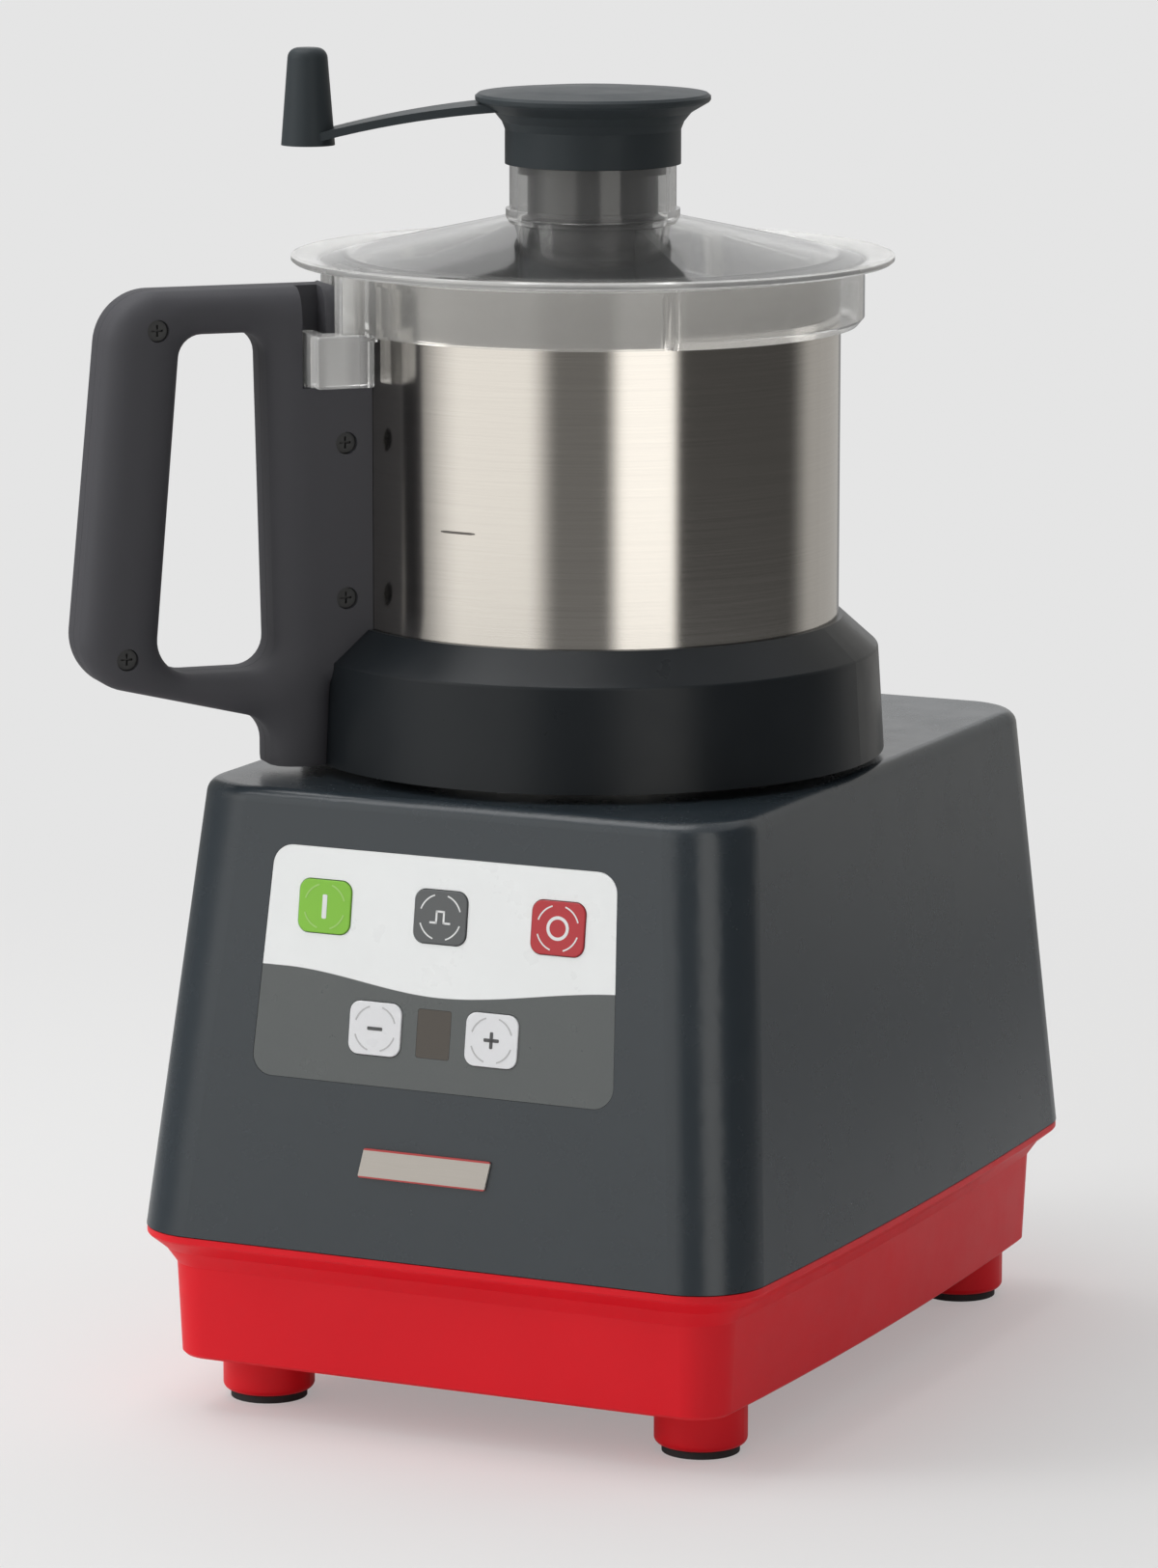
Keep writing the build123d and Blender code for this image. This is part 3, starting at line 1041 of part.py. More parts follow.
def handle_half(side):
    """One half of the handle. Side +1 is the half with the screw recesses, -1 the other."""
    body = extrude(Plane.XZ * handle_outline(), amount=-side * HANDLE_HALF)
    cheek = body.faces().sort_by(Axis.Y)[-1 if side > 0 else 0]
    rim = [e for e in cheek.outer_wire().edges()
           if e.center().X > HANDLE_NECK_S + 2 and e.center().Z > HANDLE_STUB_Z + 2]
    body = fillet(rim, HANDLE_EDGE)
    cheek = body.faces().sort_by(Axis.Y)[-1 if side > 0 else 0]
    body = fillet(cheek.inner_wires()[0].edges(), HANDLE_HOLE_EDGE)
    web_half = BRACKET_WEB / 2 + 0.1
    web = block(BOWL_R - 2, HANDLE_ROOT_S + BRACKET_DEPTH + 0.3, -web_half, web_half, BRACKET_LOW_Z - 0.3,
                BRACKET_LOW_Z + BRACKET_HEIGHT + 0.3)
    lid_room = ring(BOWL_R - 3, LID_POCKET_R + 1.0, HANDLE_NECK_Z, HANDLE_TOP_Z + 2)
    cuts = [web, collar_profile(0.15), disc(HANDLE_ROOT_S, COLLAR_TOP_Z - 3, HANDLE_NECK_Z + 0.1), lid_room]
    for s, z in HANDLE_SCREW_PLACES:
        if side > 0:
            cuts.append(cross_bar(HANDLE_SCREW_R + 0.2, s, z, -1, HANDLE_HALF + 1))
            cuts.append(cross_bar(HANDLE_SCREW_HEAD_R + 0.3, s, z, HANDLE_HALF - HANDLE_SCREW_RECESS,
                                  HANDLE_HALF + 1))
        else:
            cuts.append(cross_bar(HANDLE_SCREW_R + 0.05, s, z, -HANDLE_HALF + 4, 1))
    if side > 0:
        bore = ROD_R + ROD_BORE_GAP
        wide = ROD_COLLAR_R + ROD_BORE_GAP
        spring_low = ROD_COLLAR_Z - SPRING_LENGTH
        cuts.append(disc(bore, HANDLE_STUB_Z + 3, NOTCH_LOW_Z + 1, ROD_S, ROD_OFFSET))
        spring_high = ROD_COLLAR_Z + ROD_COLLAR_HEIGHT + ROD_TRAVEL + 1
        cuts.append(disc(wide, spring_low, spring_high, ROD_S, ROD_OFFSET))
        cuts.append(block(NOTCH_NEAR_S, NOTCH_NEAR_S + NOTCH_WIDTH, HANDLE_HALF - NOTCH_DEPTH,
                          HANDLE_HALF + 1, NOTCH_LOW_Z, HANDLE_TOP_Z + 1))
    return handle_frame(less(body, cuts))


def handle_front_half():
    return handle_half(1)


def handle_rear_half():
    return handle_half(-1)


def handle_screws():
    screws = []
    head_in = HANDLE_HALF - HANDLE_SCREW_RECESS
    head_out = head_in + HANDLE_SCREW_HEAD
    cross_in, cross_out = head_out - HANDLE_SCREW_CROSS_DEPTH, head_out + 1
    arm, thin = SCREW_CROSS / 2, SCREW_CROSS_WIDTH / 2
    for s, z in HANDLE_SCREW_PLACES:
        shank = cross_bar(HANDLE_SCREW_R, s, z, -HANDLE_HALF + 5, head_in + 0.5)
        head = cross_bar(HANDLE_SCREW_HEAD_R, s, z, head_in, head_out)
        cross = block(s - arm, s + arm, cross_in, cross_out, z - thin, z + thin)
        cross += block(s - thin, s + thin, cross_in, cross_out, z - arm, z + arm)
        screws.append(handle_frame(shank + head - cross))
    return screws


def handle_bracket():
    high = BRACKET_LOW_Z + BRACKET_HEIGHT
    web = block(BOWL_R - 3, HANDLE_ROOT_S + BRACKET_DEPTH, -BRACKET_WEB / 2, BRACKET_WEB / 2,
                BRACKET_LOW_Z, high)
    pad = ring(BOWL_R, BOWL_R + BRACKET_PAD, BRACKET_LOW_Z - 2, high + 2)
    pad = pad & block(BOWL_R - 10, BOWL_R + 5, -BRACKET_PAD_WIDTH / 2, BRACKET_PAD_WIDTH / 2, 0, high + 10)
    body = (web + pad) - disc(BOWL_R + 0.02, BRACKET_LOW_Z - 5, high + 5)
    cuts = [cross_bar(HANDLE_SCREW_R + 0.2, s, z, -5, 5) for s, z in HANDLE_STEM_SCREWS]
    return handle_frame(less(body, cuts))


# ---- Interlock ----
def interlock_rod():
    rod = disc(ROD_R, ROD_LOW_Z, ROD_TOP_Z, ROD_S, ROD_OFFSET)
    rod = fillet(rod.edges().sort_by(Axis.Z)[-1], 0.8)
    collar = disc(ROD_COLLAR_R, ROD_COLLAR_Z, ROD_COLLAR_Z + ROD_COLLAR_HEIGHT, ROD_S, ROD_OFFSET)
    return handle_frame(rod + collar)


def rod_magnet():
    return handle_frame(disc(MAGNET_R, ROD_LOW_Z - MAGNET_HEIGHT, ROD_LOW_Z, ROD_S, ROD_OFFSET))


def rod_spring():
    radius = ROD_R + SPRING_WIRE_R + 0.15
    height = SPRING_LENGTH - 2 * SPRING_WIRE_R - 0.3
    path = Helix(height / SPRING_TURNS, height, radius)
    wire = sweep(Plane(origin=path @ 0, z_dir=path % 0) * Circle(SPRING_WIRE_R), path)
    low = ROD_COLLAR_Z - SPRING_LENGTH + SPRING_WIRE_R + 0.1
    return handle_frame(Pos(ROD_S, ROD_OFFSET, low) * wire)


def reed_switch():
    half_length, half_width = REED_LENGTH / 2, REED_WIDTH / 2
    body = block(ROD_S - half_length, ROD_S + half_length, ROD_OFFSET - half_width, ROD_OFFSET + half_width,
                 DECK_UNDERSIDE_Z - REED_HEIGHT, DECK_UNDERSIDE_Z)
    return handle_frame(body)


# ---- Lid ----
def lid():
    gutter_low = LID_GUTTER_Z - LID_WALL
    neck_low = NECK_LIP_Z - LID_WALL
    lip_top = NECK_LIP_Z + NECK_LIP_HEIGHT
    dome = turned([
        (NECK_BORE_R, NECK_TOP_Z), (NECK_R, NECK_TOP_Z), (NECK_R, lip_top), (NECK_LIP_R, lip_top),
        (NECK_LIP_R, NECK_LIP_Z), (LID_GUTTER_R - 4, LID_GUTTER_Z + 1), (LID_GUTTER_R, LID_GUTTER_Z),
        (LID_RIM_R - 1.2, LID_RIM_Z + 1.2), (LID_RIM_R, LID_RIM_Z + 0.6), (LID_RIM_R, LID_RIM_Z - 1.0),
        (LID_RIM_R - 1.0, LID_RIM_Z - 1.8), (LID_GUTTER_R, gutter_low), (LID_SKIRT_R - 6, gutter_low),
        (NECK_BORE_R + 2, neck_low), (NECK_BORE_R, neck_low),
    ])
    skirt = ring(LID_SKIRT_R - LID_WALL, LID_SKIRT_R, LID_SKIRT_LOW_Z, gutter_low + 1)
    body = dome + skirt
    for step in range(LID_POCKETS):
        start = LID_POCKET_START + 360 * step / LID_POCKETS
        body = body + lid_pocket(start, LID_POCKET_SPAN, 0, 0.01, gutter_low + 1)
        body = body - lid_pocket(start + LID_POCKET_EDGE, LID_POCKET_SPAN - 2 * LID_POCKET_EDGE, LID_WALL,
                                 -1, gutter_low)
    return body + lid_latch(gutter_low)


def lid_pocket(start, span, inset, low, high):
    """A hollow bulge of the skirt over part of the circle, drawn inwards by an inset."""
    inner = LID_SKIRT_R - LID_WALL - (1 if inset else 0)
    outer = LID_POCKET_R - inset
    section = turned([(inner, LID_SKIRT_LOW_Z + low), (outer - 2.5, LID_SKIRT_LOW_Z + low),
                      (outer, LID_SKIRT_LOW_Z + 3), (outer, high), (inner, high)])
    return section & sector(start, span, LID_SKIRT_LOW_Z - 2, high + 2, LID_POCKET_R + 5)


def lid_latch(gutter_low):
    """The lug beside the handle, the bar it hangs from and the tongue that bears on the rod."""
    near = HANDLE_HALF + LUG_NEAR
    lug = block(LUG_NEAR_S, LUG_NEAR_S + LUG_DEPTH, near, near + LUG_WIDTH, LUG_LOW_Z, LUG_HIGH_Z)
    lug = fillet(lug.edges(), LUG_EDGE)
    bar = block(BOWL_R, BOWL_R + LUG_BAR_DEPTH, near, near + LUG_BAR_WIDTH, LUG_HIGH_Z - 3, gutter_low + 1)
    tongue = block(TONGUE_NEAR_S, TONGUE_NEAR_S + TONGUE_WIDTH, HANDLE_HALF - TONGUE_DEPTH, near + 4,
                   TONGUE_LOW_Z, LUG_HIGH_Z)
    inside = disc(LID_SKIRT_R - LID_WALL + 0.5, LUG_LOW_Z - 5, gutter_low + 5)
    return handle_frame(lug + bar + tongue) - inside


def sector(start, span, low, high, radius):
    """A wedge of a cylinder about the drive axis, from an azimuth through a span under 180 degrees."""
    reach = radius / cos(radians(span / 2))
    corners = [(0, 0)]
    for share in (0.0, 0.5, 1.0):
        azimuth = radians(start + span * share)
        corners.append((reach * cos(azimuth), reach * sin(azimuth)))
    return Pos(0, 0, low) * extrude(Polygon(*corners, align=None), amount=high - low)


def lid_gasket():
    outer = BOWL_R + BOWL_RIM_LIP - 0.1
    return ring(outer - GASKET_WIDTH, outer, BOWL_RIM_Z + GASKET_GAP, LID_GUTTER_Z - LID_WALL - GASKET_GAP)


# ---- Knife ----
def knife_hub():
    bore = CHIMNEY_R + HUB_BORE_GAP
    roof = CHIMNEY_TOP_Z + 1.5
    body = turned([(bore, HUB_LOW_Z), (HUB_FLANGE_R, HUB_LOW_Z), (HUB_FLANGE_R, LOW_BLADE_Z),
                   (HUB_R, LOW_BLADE_Z), (HUB_R, HUB_BODY_TOP_Z), (HUB_NOSE_R, HUB_BODY_TOP_Z),
                   (HUB_NOSE_R, HUB_NOSE_TOP_Z), (0, HUB_NOSE_TOP_Z), (0, roof), (bore, roof)])
    socket = disc(SHAFT_NOSE_R + SHAFT_RUN, CHIMNEY_TOP_Z, SHAFT_TOP_Z + 0.6)
    reach = 2 * SHAFT_NOSE_R
    flat = SHAFT_FLAT + SHAFT_RUN
    socket = less(socket, [block(flat, reach, -reach, reach, CHIMNEY_TOP_Z - 1, SHAFT_TOP_Z + 2),
                           block(-reach, -flat, -reach, reach, CHIMNEY_TOP_Z - 1, SHAFT_TOP_Z + 2)])
    return body - socket


def blade(low, azimuth):
    """A sickle blade with a ground leading edge, on a ring that slips over the hub."""
    high = low + BLADE_THICKNESS
    hub = ring(HUB_R + BLADE_RING_GAP, HUB_FLANGE_R, low, high)
    root = HUB_FLANGE_R - 3
    edge = [
        Spline((root * 0.35, root), (BLADE_REACH * 0.62, root * 1.02), (BLADE_REACH, 0),
               tangents=((1, 0.12), (0.1, -1))),
        Spline((BLADE_REACH, 0), (BLADE_REACH * 0.66, -root * 0.1), (root, -root * 0.35),
               tangents=((-0.6, 0.5), (-1, -0.35))),
        Line((root, -root * 0.35), (root * 0.35, root)),
    ]
    outline = make_face(edge)
    arm = Pos(0, 0, low) * extrude(outline, amount=BLADE_THICKNESS)
    arm = arm - disc(HUB_FLANGE_R - 1.5, low - 1, high + 1)
    return Rot(0, 0, azimuth) * (hub + arm)


def lower_blade():
    return blade(LOW_BLADE_Z, 20)


def upper_blade():
    return blade(HIGH_BLADE_Z, 200)


def blade_spacers():
    inner = HUB_R + BLADE_RING_GAP
    first = ring(inner, HUB_FLANGE_R - 1, LOW_BLADE_Z + BLADE_THICKNESS, HIGH_BLADE_Z)
    second = ring(inner, HUB_FLANGE_R - 1, HIGH_BLADE_Z + BLADE_THICKNESS, HUB_BODY_TOP_Z)
    return [first, second]


def hub_cap():
    bore = HUB_NOSE_R + 0.05
    flange = HUB_FLANGE_R - 1
    low = HUB_BODY_TOP_Z + 0.05
    top = HUB_NOSE_TOP_Z + 4
    body = turned([(bore, low), (flange, low), (flange, HUB_BODY_TOP_Z + 4), (HUB_CAP_R, HUB_BODY_TOP_Z + 8),
                   (HUB_CAP_R, top - 3), (HUB_CAP_R - 3, top), (0, top), (0, HUB_NOSE_TOP_Z + 0.1),
                   (bore, HUB_NOSE_TOP_Z + 0.1)])
    scallop = disc(HUB_LOBE_R, HUB_BODY_TOP_Z + 9, top + 1, HUB_CAP_R + 1.4, 0)
    return less(body, around(scallop, HUB_LOBES))


# ---- Crank and scraper ----
def crank_handle():
    inner = CRANK_CAP_R - CRANK_CAP_WALL
    roof = CRANK_FLARE_Z + 3
    boss_low = SCRAPER_TOP_Z + 0.2
    cap = turned([
        (inner, CRANK_LOW_Z), (CRANK_CAP_R, CRANK_LOW_Z), (CRANK_CAP_R, CRANK_FLARE_Z - 3),
        (CRANK_CAP_R + 1.2, CRANK_FLARE_Z), (CRANK_CAP_R + 4, CRANK_FLARE_Z + 3.4),
        (CRANK_RIM_R - 0.6, CRANK_RIM_Z - 1.4), (CRANK_RIM_R, CRANK_RIM_Z - 0.6),
        (CRANK_RIM_R, CRANK_RIM_Z + 0.8), (CRANK_RIM_R - 1.2, CRANK_RIM_Z + 1.8),
        (CRANK_RIM_R * 0.6, CRANK_CROWN_Z - 0.8), (0, CRANK_CROWN_Z),
        (0, boss_low), (3 * CRANK_SCREW_R, boss_low), (3 * CRANK_SCREW_R, roof), (inner, roof),
    ])
    screw_hole = disc(CRANK_SCREW_R + 0.05, SCRAPER_TOP_Z - 1, CRANK_FLARE_Z + 4)
    slot = block(CRANK_CAP_R - 1.4, CRANK_CAP_R + 2, -CRANK_SLOT_WIDTH / 2, CRANK_SLOT_WIDTH / 2,
                 CRANK_LOW_Z - 1, CRANK_FLARE_Z - 2)
    cap = less(cap, [screw_hole, Rot(0, 0, 90 + CRANK_SLOT_AZIMUTH) * slot])
    root_s = CRANK_RIM_R * 0.5
    mid_s = (root_s + KNOB_S) / 2
    top_root = CRANK_RIM_Z - 0.6
    top_mid = top_root - CRANK_ARM_DROOP
    top_tip = KNOB_LOW_Z + CRANK_ARM + 0.6
    side = make_face([
        ThreePointArc((root_s, top_root), (mid_s, top_mid), (KNOB_S, top_tip)),
        Line((KNOB_S, top_tip), (KNOB_S, top_tip - CRANK_ARM)),
        ThreePointArc((KNOB_S, top_tip - CRANK_ARM), (mid_s, top_mid - CRANK_ARM),
                      (root_s, top_root - CRANK_ARM)),
        Line((root_s, top_root - CRANK_ARM), (root_s, top_root)),
    ])
    slab = extrude(Plane.XZ * side, amount=CRANK_ARM_ROOT_WIDTH, both=True)
    root_half, tip_half = CRANK_ARM_ROOT_WIDTH / 2, CRANK_ARM_TIP_WIDTH / 2
    plan = Polygon((root_s - 1, -root_half), (KNOB_S + 1, -tip_half), (KNOB_S + 1, tip_half),
                   (root_s - 1, root_half), align=None)
    arm = slab & (Pos(0, 0, KNOB_LOW_Z - 20) * extrude(plan, amount=60))
    knob = Pos(KNOB_S, 0, 0) * turned([(0, KNOB_LOW_Z), (KNOB_LOW_R, KNOB_LOW_Z), (KNOB_TOP_R, KNOB_TOP_Z),
                                        (0, KNOB_TOP_Z)])
    knob = fillet(knob.edges().sort_by(Axis.Z)[-1], KNOB_ROUND)
    return Rot(0, 0, CRANK_AZIMUTH) * (cap + arm + knob)


def scraper_hub():
    ring_r = NECK_BORE_R - SCRAPER_RUN
    top_ring = NECK_TOP_Z - 3
    inner = SCRAPER_NECK_R - SCRAPER_WALL
    screw_bore = CRANK_SCREW_R + 0.3
    return turned([
        (inner, SCRAPER_LOW_Z), (SCRAPER_FLARE_R, SCRAPER_LOW_Z), (SCRAPER_FLARE_R, SCRAPER_LOW_Z + 10),
        (SCRAPER_R, NECK_LIP_Z - LID_WALL - 1.5), (SCRAPER_R, NECK_LIP_Z), (SCRAPER_NECK_R, NECK_LIP_Z + 1),
        (SCRAPER_NECK_R, top_ring), (ring_r, top_ring), (ring_r, NECK_TOP_Z),
        (SCRAPER_BOSS_R, NECK_TOP_Z),
        (SCRAPER_BOSS_R, SCRAPER_TOP_Z), (screw_bore, SCRAPER_TOP_Z), (screw_bore, SCRAPER_ROOF_Z),
        (inner, SCRAPER_ROOF_Z),
    ])


def scraper_arms():
    root = SCRAPER_FLARE_R + 0.05
    crest = NECK_LIP_Z - LID_WALL - 3.5
    under = SCRAPER_SHELF_Z - SCRAPER_ARM_DEPTH
    side = Polygon((root, under - SCRAPER_ARM_DEPTH), (root, crest), (root + 4, crest),
                   (SCRAPER_BRACE_S, SCRAPER_SHELF_Z), (SCRAPER_TIP_S, SCRAPER_SHELF_Z),
                   (SCRAPER_TIP_S, under), (SCRAPER_BRACE_S - 6, under), align=None)
    half = SCRAPER_ARM / 2
    web = Pos(0, half, 0) * extrude(Plane.XZ * side, amount=SCRAPER_ARM)
    rib = block(SCRAPER_TIP_S - 0.1, SCRAPER_TIP_S + 3, -half, half, WIPER_LOW_Z, SCRAPER_SHELF_Z)
    return around(web + rib, SCRAPER_ARMS, CRANK_AZIMUTH)


def wiper_blades():
    strip = block(SCRAPER_TIP_S + 3.05, BOWL_INSIDE_R - WIPER_GAP, -WIPER_THICKNESS / 2, WIPER_THICKNESS / 2,
                  WIPER_LOW_Z - 3, SCRAPER_SHELF_Z - 1)
    return around(strip, SCRAPER_ARMS, CRANK_AZIMUTH)


def crank_screw():
    head_low = SCRAPER_ROOF_Z - CRANK_SCREW_HEAD
    body = disc(CRANK_SCREW_R, head_low + 1, CRANK_FLARE_Z + 2)
    head = disc(CRANK_SCREW_HEAD_R, head_low, SCRAPER_ROOF_Z)
    hexagon = Pos(0, 0, head_low - 1) * extrude(RegularPolygon(2.6, 6), amount=4)
    return body + head - hexagon


# ---- Rear pieces ----
def vent_grille():
    width, height = GRILLE_WIDTH - 2 * GRILLE_FRAME, GRILLE_HEIGHT - 2 * GRILLE_FRAME
    frame = plate(GRILLE_WIDTH, GRILLE_HEIGHT, 0.1, 2.6, 5)
    collar = plate(width + 3.4, height + 3.4, -WALL - 1, 0.2, 2.7)
    body = frame + collar - plate(width, height, -WALL - 2, 4, 2)
    slats = []
    for i in range(1, GRILLE_SLATS):
        v = height * (i / GRILLE_SLATS - 0.5)
        slats.append(Pos(0, v, 0.2) * Rot(GRILLE_TILT, 0, 0) * Box(width + 1, GRILLE_SLAT, 2.0))
    post = block(-1.5, 1.5, -height / 2 - 0.5, height / 2 + 0.5, -1.2, 0.6)
    return on_face(REAR, 0, GRILLE_V, joined([body, post] + slats))


def cable_gland():
    low = -WALL - GLAND_NUT - 1
    high = GLAND_LENGTH + low
    body = disc(GLAND_R, low, 1)
    body += extrude(Pos(0, 0, 0.1) * RegularPolygon(GLAND_NUT_R, 6), amount=GLAND_NUT)
    body += Pos(0, 0, GLAND_NUT) * Cone(GLAND_R + 1, GLAND_BORE_R + 2, high - GLAND_NUT,
                                        align=(Align.CENTER, Align.CENTER, Align.MIN))
    body += ring(GLAND_BORE_R, GLAND_NUT_R, low, -WALL - 0.1)
    return on_face(REAR, GLAND_X, GLAND_V, body - disc(GLAND_BORE_R, low - 1, high + 1))


def power_board():
    half_w, half_d = POWER_BOARD_WIDTH / 2, POWER_BOARD_DEPTH / 2
    top = POWER_BOARD_Z + BOARD_THICKNESS
    body = block(-half_w, half_w, POWER_BOARD_Y - half_d, POWER_BOARD_Y + half_d, POWER_BOARD_Z, top)
    cuts = [disc(SCREW_R - 0.3, POWER_BOARD_Z - 1, top + 1, x, y) for x, y in POWER_POSTS]
    body = less(body, cuts)
    for x in (-40, -14):
        body += disc(CAPACITOR_R, top - 0.2, top + CAPACITOR_HEIGHT, x, POWER_BOARD_Y + 14)
    body += block(-52, -20, POWER_BOARD_Y - 30, POWER_BOARD_Y - 8, top - 0.2, top + 20)
    return body


def power_board_screws():
    top = POWER_BOARD_Z + BOARD_THICKNESS
    screws = []
    for x, y in POWER_POSTS:
        shank = disc(SCREW_R - 0.55, top - 8, top + 0.5, x, y)
        screws.append(shank + disc(SCREW_R + 1, top, top + 1.8, x, y))
    return screws


def heat_sink():
    low = POWER_BOARD_Z + BOARD_THICKNESS + 0.02
    x0, x1 = 8.0, POWER_BOARD_WIDTH / 2 - 2 * POWER_POST_INSET
    y0, y1 = POWER_BOARD_Y - POWER_BOARD_DEPTH / 2 + 4, POWER_BOARD_Y + POWER_BOARD_DEPTH / 2 - 4
    body = block(x0, x1, y0, y1, low, low + HEAT_SINK_BASE)
    pitch = (x1 - x0 - HEAT_SINK_FIN) / (HEAT_SINK_FINS - 1)
    fins = [block(x0 + i * pitch, x0 + i * pitch + HEAT_SINK_FIN, y0, y1, low + HEAT_SINK_BASE - 0.5,
                  low + HEAT_SINK_HEIGHT) for i in range(HEAT_SINK_FINS)]
    return joined([body] + fins)


PIECES = {
    "housing_shell": housing_shell, "base_plinth": base_plinth, "foot_pads": foot_pads,
    "base_screws": base_screws, "panel_overlay": panel_overlay, "display_window": display_window,
    "display_module": display_module, "control_board": control_board, "board_screws": board_screws,
    "key_switches": key_switches, "badge_plate": badge_plate, "motor_stator": motor_stator,
    "motor_windings": motor_windings, "upper_end_shield": upper_end_shield,
    "lower_end_shield": lower_end_shield, "upper_bearing": upper_bearing, "lower_bearing": lower_bearing,
    "motor_tie_rods": tie_rods, "motor_shaft": motor_shaft, "rotor_core": rotor_core,
    "cooling_fan": cooling_fan, "bowl_seat": bowl_seat, "seat_screws": seat_screws,
    "shaft_seal": shaft_seal, "steel_bowl": steel_bowl, "bowl_chimney": bowl_chimney,
    "bowl_collar": bowl_collar, "collar_screws": collar_screws, "handle_front_half": handle_front_half,
    "handle_rear_half": handle_rear_half, "handle_bracket": handle_bracket, "handle_screws": handle_screws,
    "interlock_rod": interlock_rod, "rod_magnet": rod_magnet, "rod_spring": rod_spring,
    "reed_switch": reed_switch, "lid": lid, "lid_gasket": lid_gasket, "knife_hub": knife_hub,
    "lower_blade": lower_blade, "upper_blade": upper_blade, "blade_spacers": blade_spacers,
    "hub_cap": hub_cap, "crank_handle": crank_handle, "scraper_hub": scraper_hub,
    "scraper_arms": scraper_arms, "wiper_blades": wiper_blades, "crank_screw": crank_screw,
    "vent_grille": vent_grille, "cable_gland": cable_gland, "power_board": power_board,
    "power_board_screws": power_board_screws, "heat_sink": heat_sink,
}


def solids_of(result):
    """Every solid of a piece, whether it came as one shape or a list of shapes."""
    shapes = result if isinstance(result, list) else [result]
    return [solid for shape in shapes for solid in shape.solids()]


os.makedirs("parts", exist_ok=True)
for piece_name, make_piece in PIECES.items():
    export_step(Compound(children=solids_of(make_piece())), f"parts/{piece_name}.step")
for key_name in KEYS:
    export_step(Compound(children=solids_of(key(key_name))), f"parts/{key_name}.step")
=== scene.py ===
"""Looks of the table-top cutter mixer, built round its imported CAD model. Metres, +Z up, front towards -Y."""
import math

import bmesh
import bpy
import numpy
from mathutils import Matrix, Vector, geometry


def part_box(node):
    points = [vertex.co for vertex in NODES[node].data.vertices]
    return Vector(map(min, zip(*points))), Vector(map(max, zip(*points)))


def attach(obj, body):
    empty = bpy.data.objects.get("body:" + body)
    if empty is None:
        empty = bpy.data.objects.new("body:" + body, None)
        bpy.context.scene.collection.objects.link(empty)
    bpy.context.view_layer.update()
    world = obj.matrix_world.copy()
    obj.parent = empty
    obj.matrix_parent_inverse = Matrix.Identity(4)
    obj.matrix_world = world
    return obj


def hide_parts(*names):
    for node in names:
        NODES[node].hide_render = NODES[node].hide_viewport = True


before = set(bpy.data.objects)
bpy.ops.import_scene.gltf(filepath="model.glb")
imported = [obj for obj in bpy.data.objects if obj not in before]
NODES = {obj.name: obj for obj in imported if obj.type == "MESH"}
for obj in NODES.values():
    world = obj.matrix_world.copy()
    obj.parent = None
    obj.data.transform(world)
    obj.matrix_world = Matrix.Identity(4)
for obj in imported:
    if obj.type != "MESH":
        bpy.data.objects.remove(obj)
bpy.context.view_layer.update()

MM = 0.001

# ---- Camera ----
CAMERA_AT = Vector((1.07741, -2.30567, 0.68831))
CAMERA_RIGHT = Vector((0.90505, 0.42530, 0.00101))
CAMERA_UP = Vector((-0.07659, 0.16065, 0.98404))
CAMERA_BACK = Vector((0.41835, -0.89068, 0.17797))
FOCAL_PIXELS = 6983.89
FRAME_HEIGHT = 1625
SENSOR = 36.0

# ---- Backdrop and light ----
BACKDROP = (0.783, 0.783, 0.783)
FLOOR_REACH = 14.0
FLOOR_FADE = (0.42, 1.25)
FLOOR_LIFT = 0.40
FLOOR_ALBEDO = 0.80
WORLD_LIGHT = 0.60
WORLD_RIGHT = 0.45
LAMP_TARGET = (0, 0, 0.25)
LAMPS = (
    ("overhead", (-0.7, -0.1, 2.2), 1.8, 1.8, 26),
    ("left_key", (-2.0, -1.4, 1.3), 1.0, 1.6, 22),
    ("right_fill", (1.6, 1.8, 1.1), 0.9, 1.6, 4),
)

# ---- Front panel ----
PANEL_NORMAL = Vector((0.0, -0.98890, 0.14857))
PANEL_UP = Vector((0.0, 0.14857, 0.98890))
WAVE_LEFT_Z = 0.1761
WAVE_FALL = 0.0064
WAVE_FALL_SPAN = (-0.064, 0.000)
WAVE_RISE = 0.0076
WAVE_RISE_SPAN = (0.000, 0.078)
MARK_HEIGHT = 0.10 * MM
MARK_SINK = 0.05 * MM
ARC_RADIUS = 8.7 * MM
ARC_WIDTH = 0.55 * MM
ARC_SPAN = math.radians(27)

# ---- How clear the lid is: its dome, its skirt and its thick rim; the rim's extra milkiness is a painted highlight ----
CLEAR_DOME = 0.985
CLEAR_SKIRT = 0.94
CLEAR_RIM = 0.72

# ---- Fill line on the bowl ----
BOWL_RADIUS = 94.0 * MM
LEVEL_AZIMUTH = 263.0
LEVEL_Z = 336.6 * MM
LEVEL_LENGTH = 15.0 * MM
LEVEL_WIDTH = 0.9 * MM
LEVEL_DEPTH = 0.08 * MM
LEVEL_STEPS = 8

# ---- Handle, in its own frame: s outwards, o towards the latch side, z up ----
HANDLE_AZIMUTH = math.radians(225)
HANDLE_S = Vector((math.cos(HANDLE_AZIMUTH), math.sin(HANDLE_AZIMUTH), 0))
HANDLE_O = Vector((-math.sin(HANDLE_AZIMUTH), math.cos(HANDLE_AZIMUTH), 0))
HANDLE_HALF = 15.0
HANDLE_LOOP = ((92.5, 273.0, 0), (92.5, 404.0, 0), (106.0, 404.0, 0), (106.0, 424.5, 0),
               (192.8, 424.5, 21), (206.8, 280.2, 21), (131.0, 261.8, 12), (131.0, 244.5, 0),
               (106.7, 244.5, 0), (106.7, 273.0, 0))
HANDLE_HOLE = ((132.5, 408.0, 9), (165.4, 408.0, 9), (176.4, 281.0, 13), (129.5, 281.0, 11))
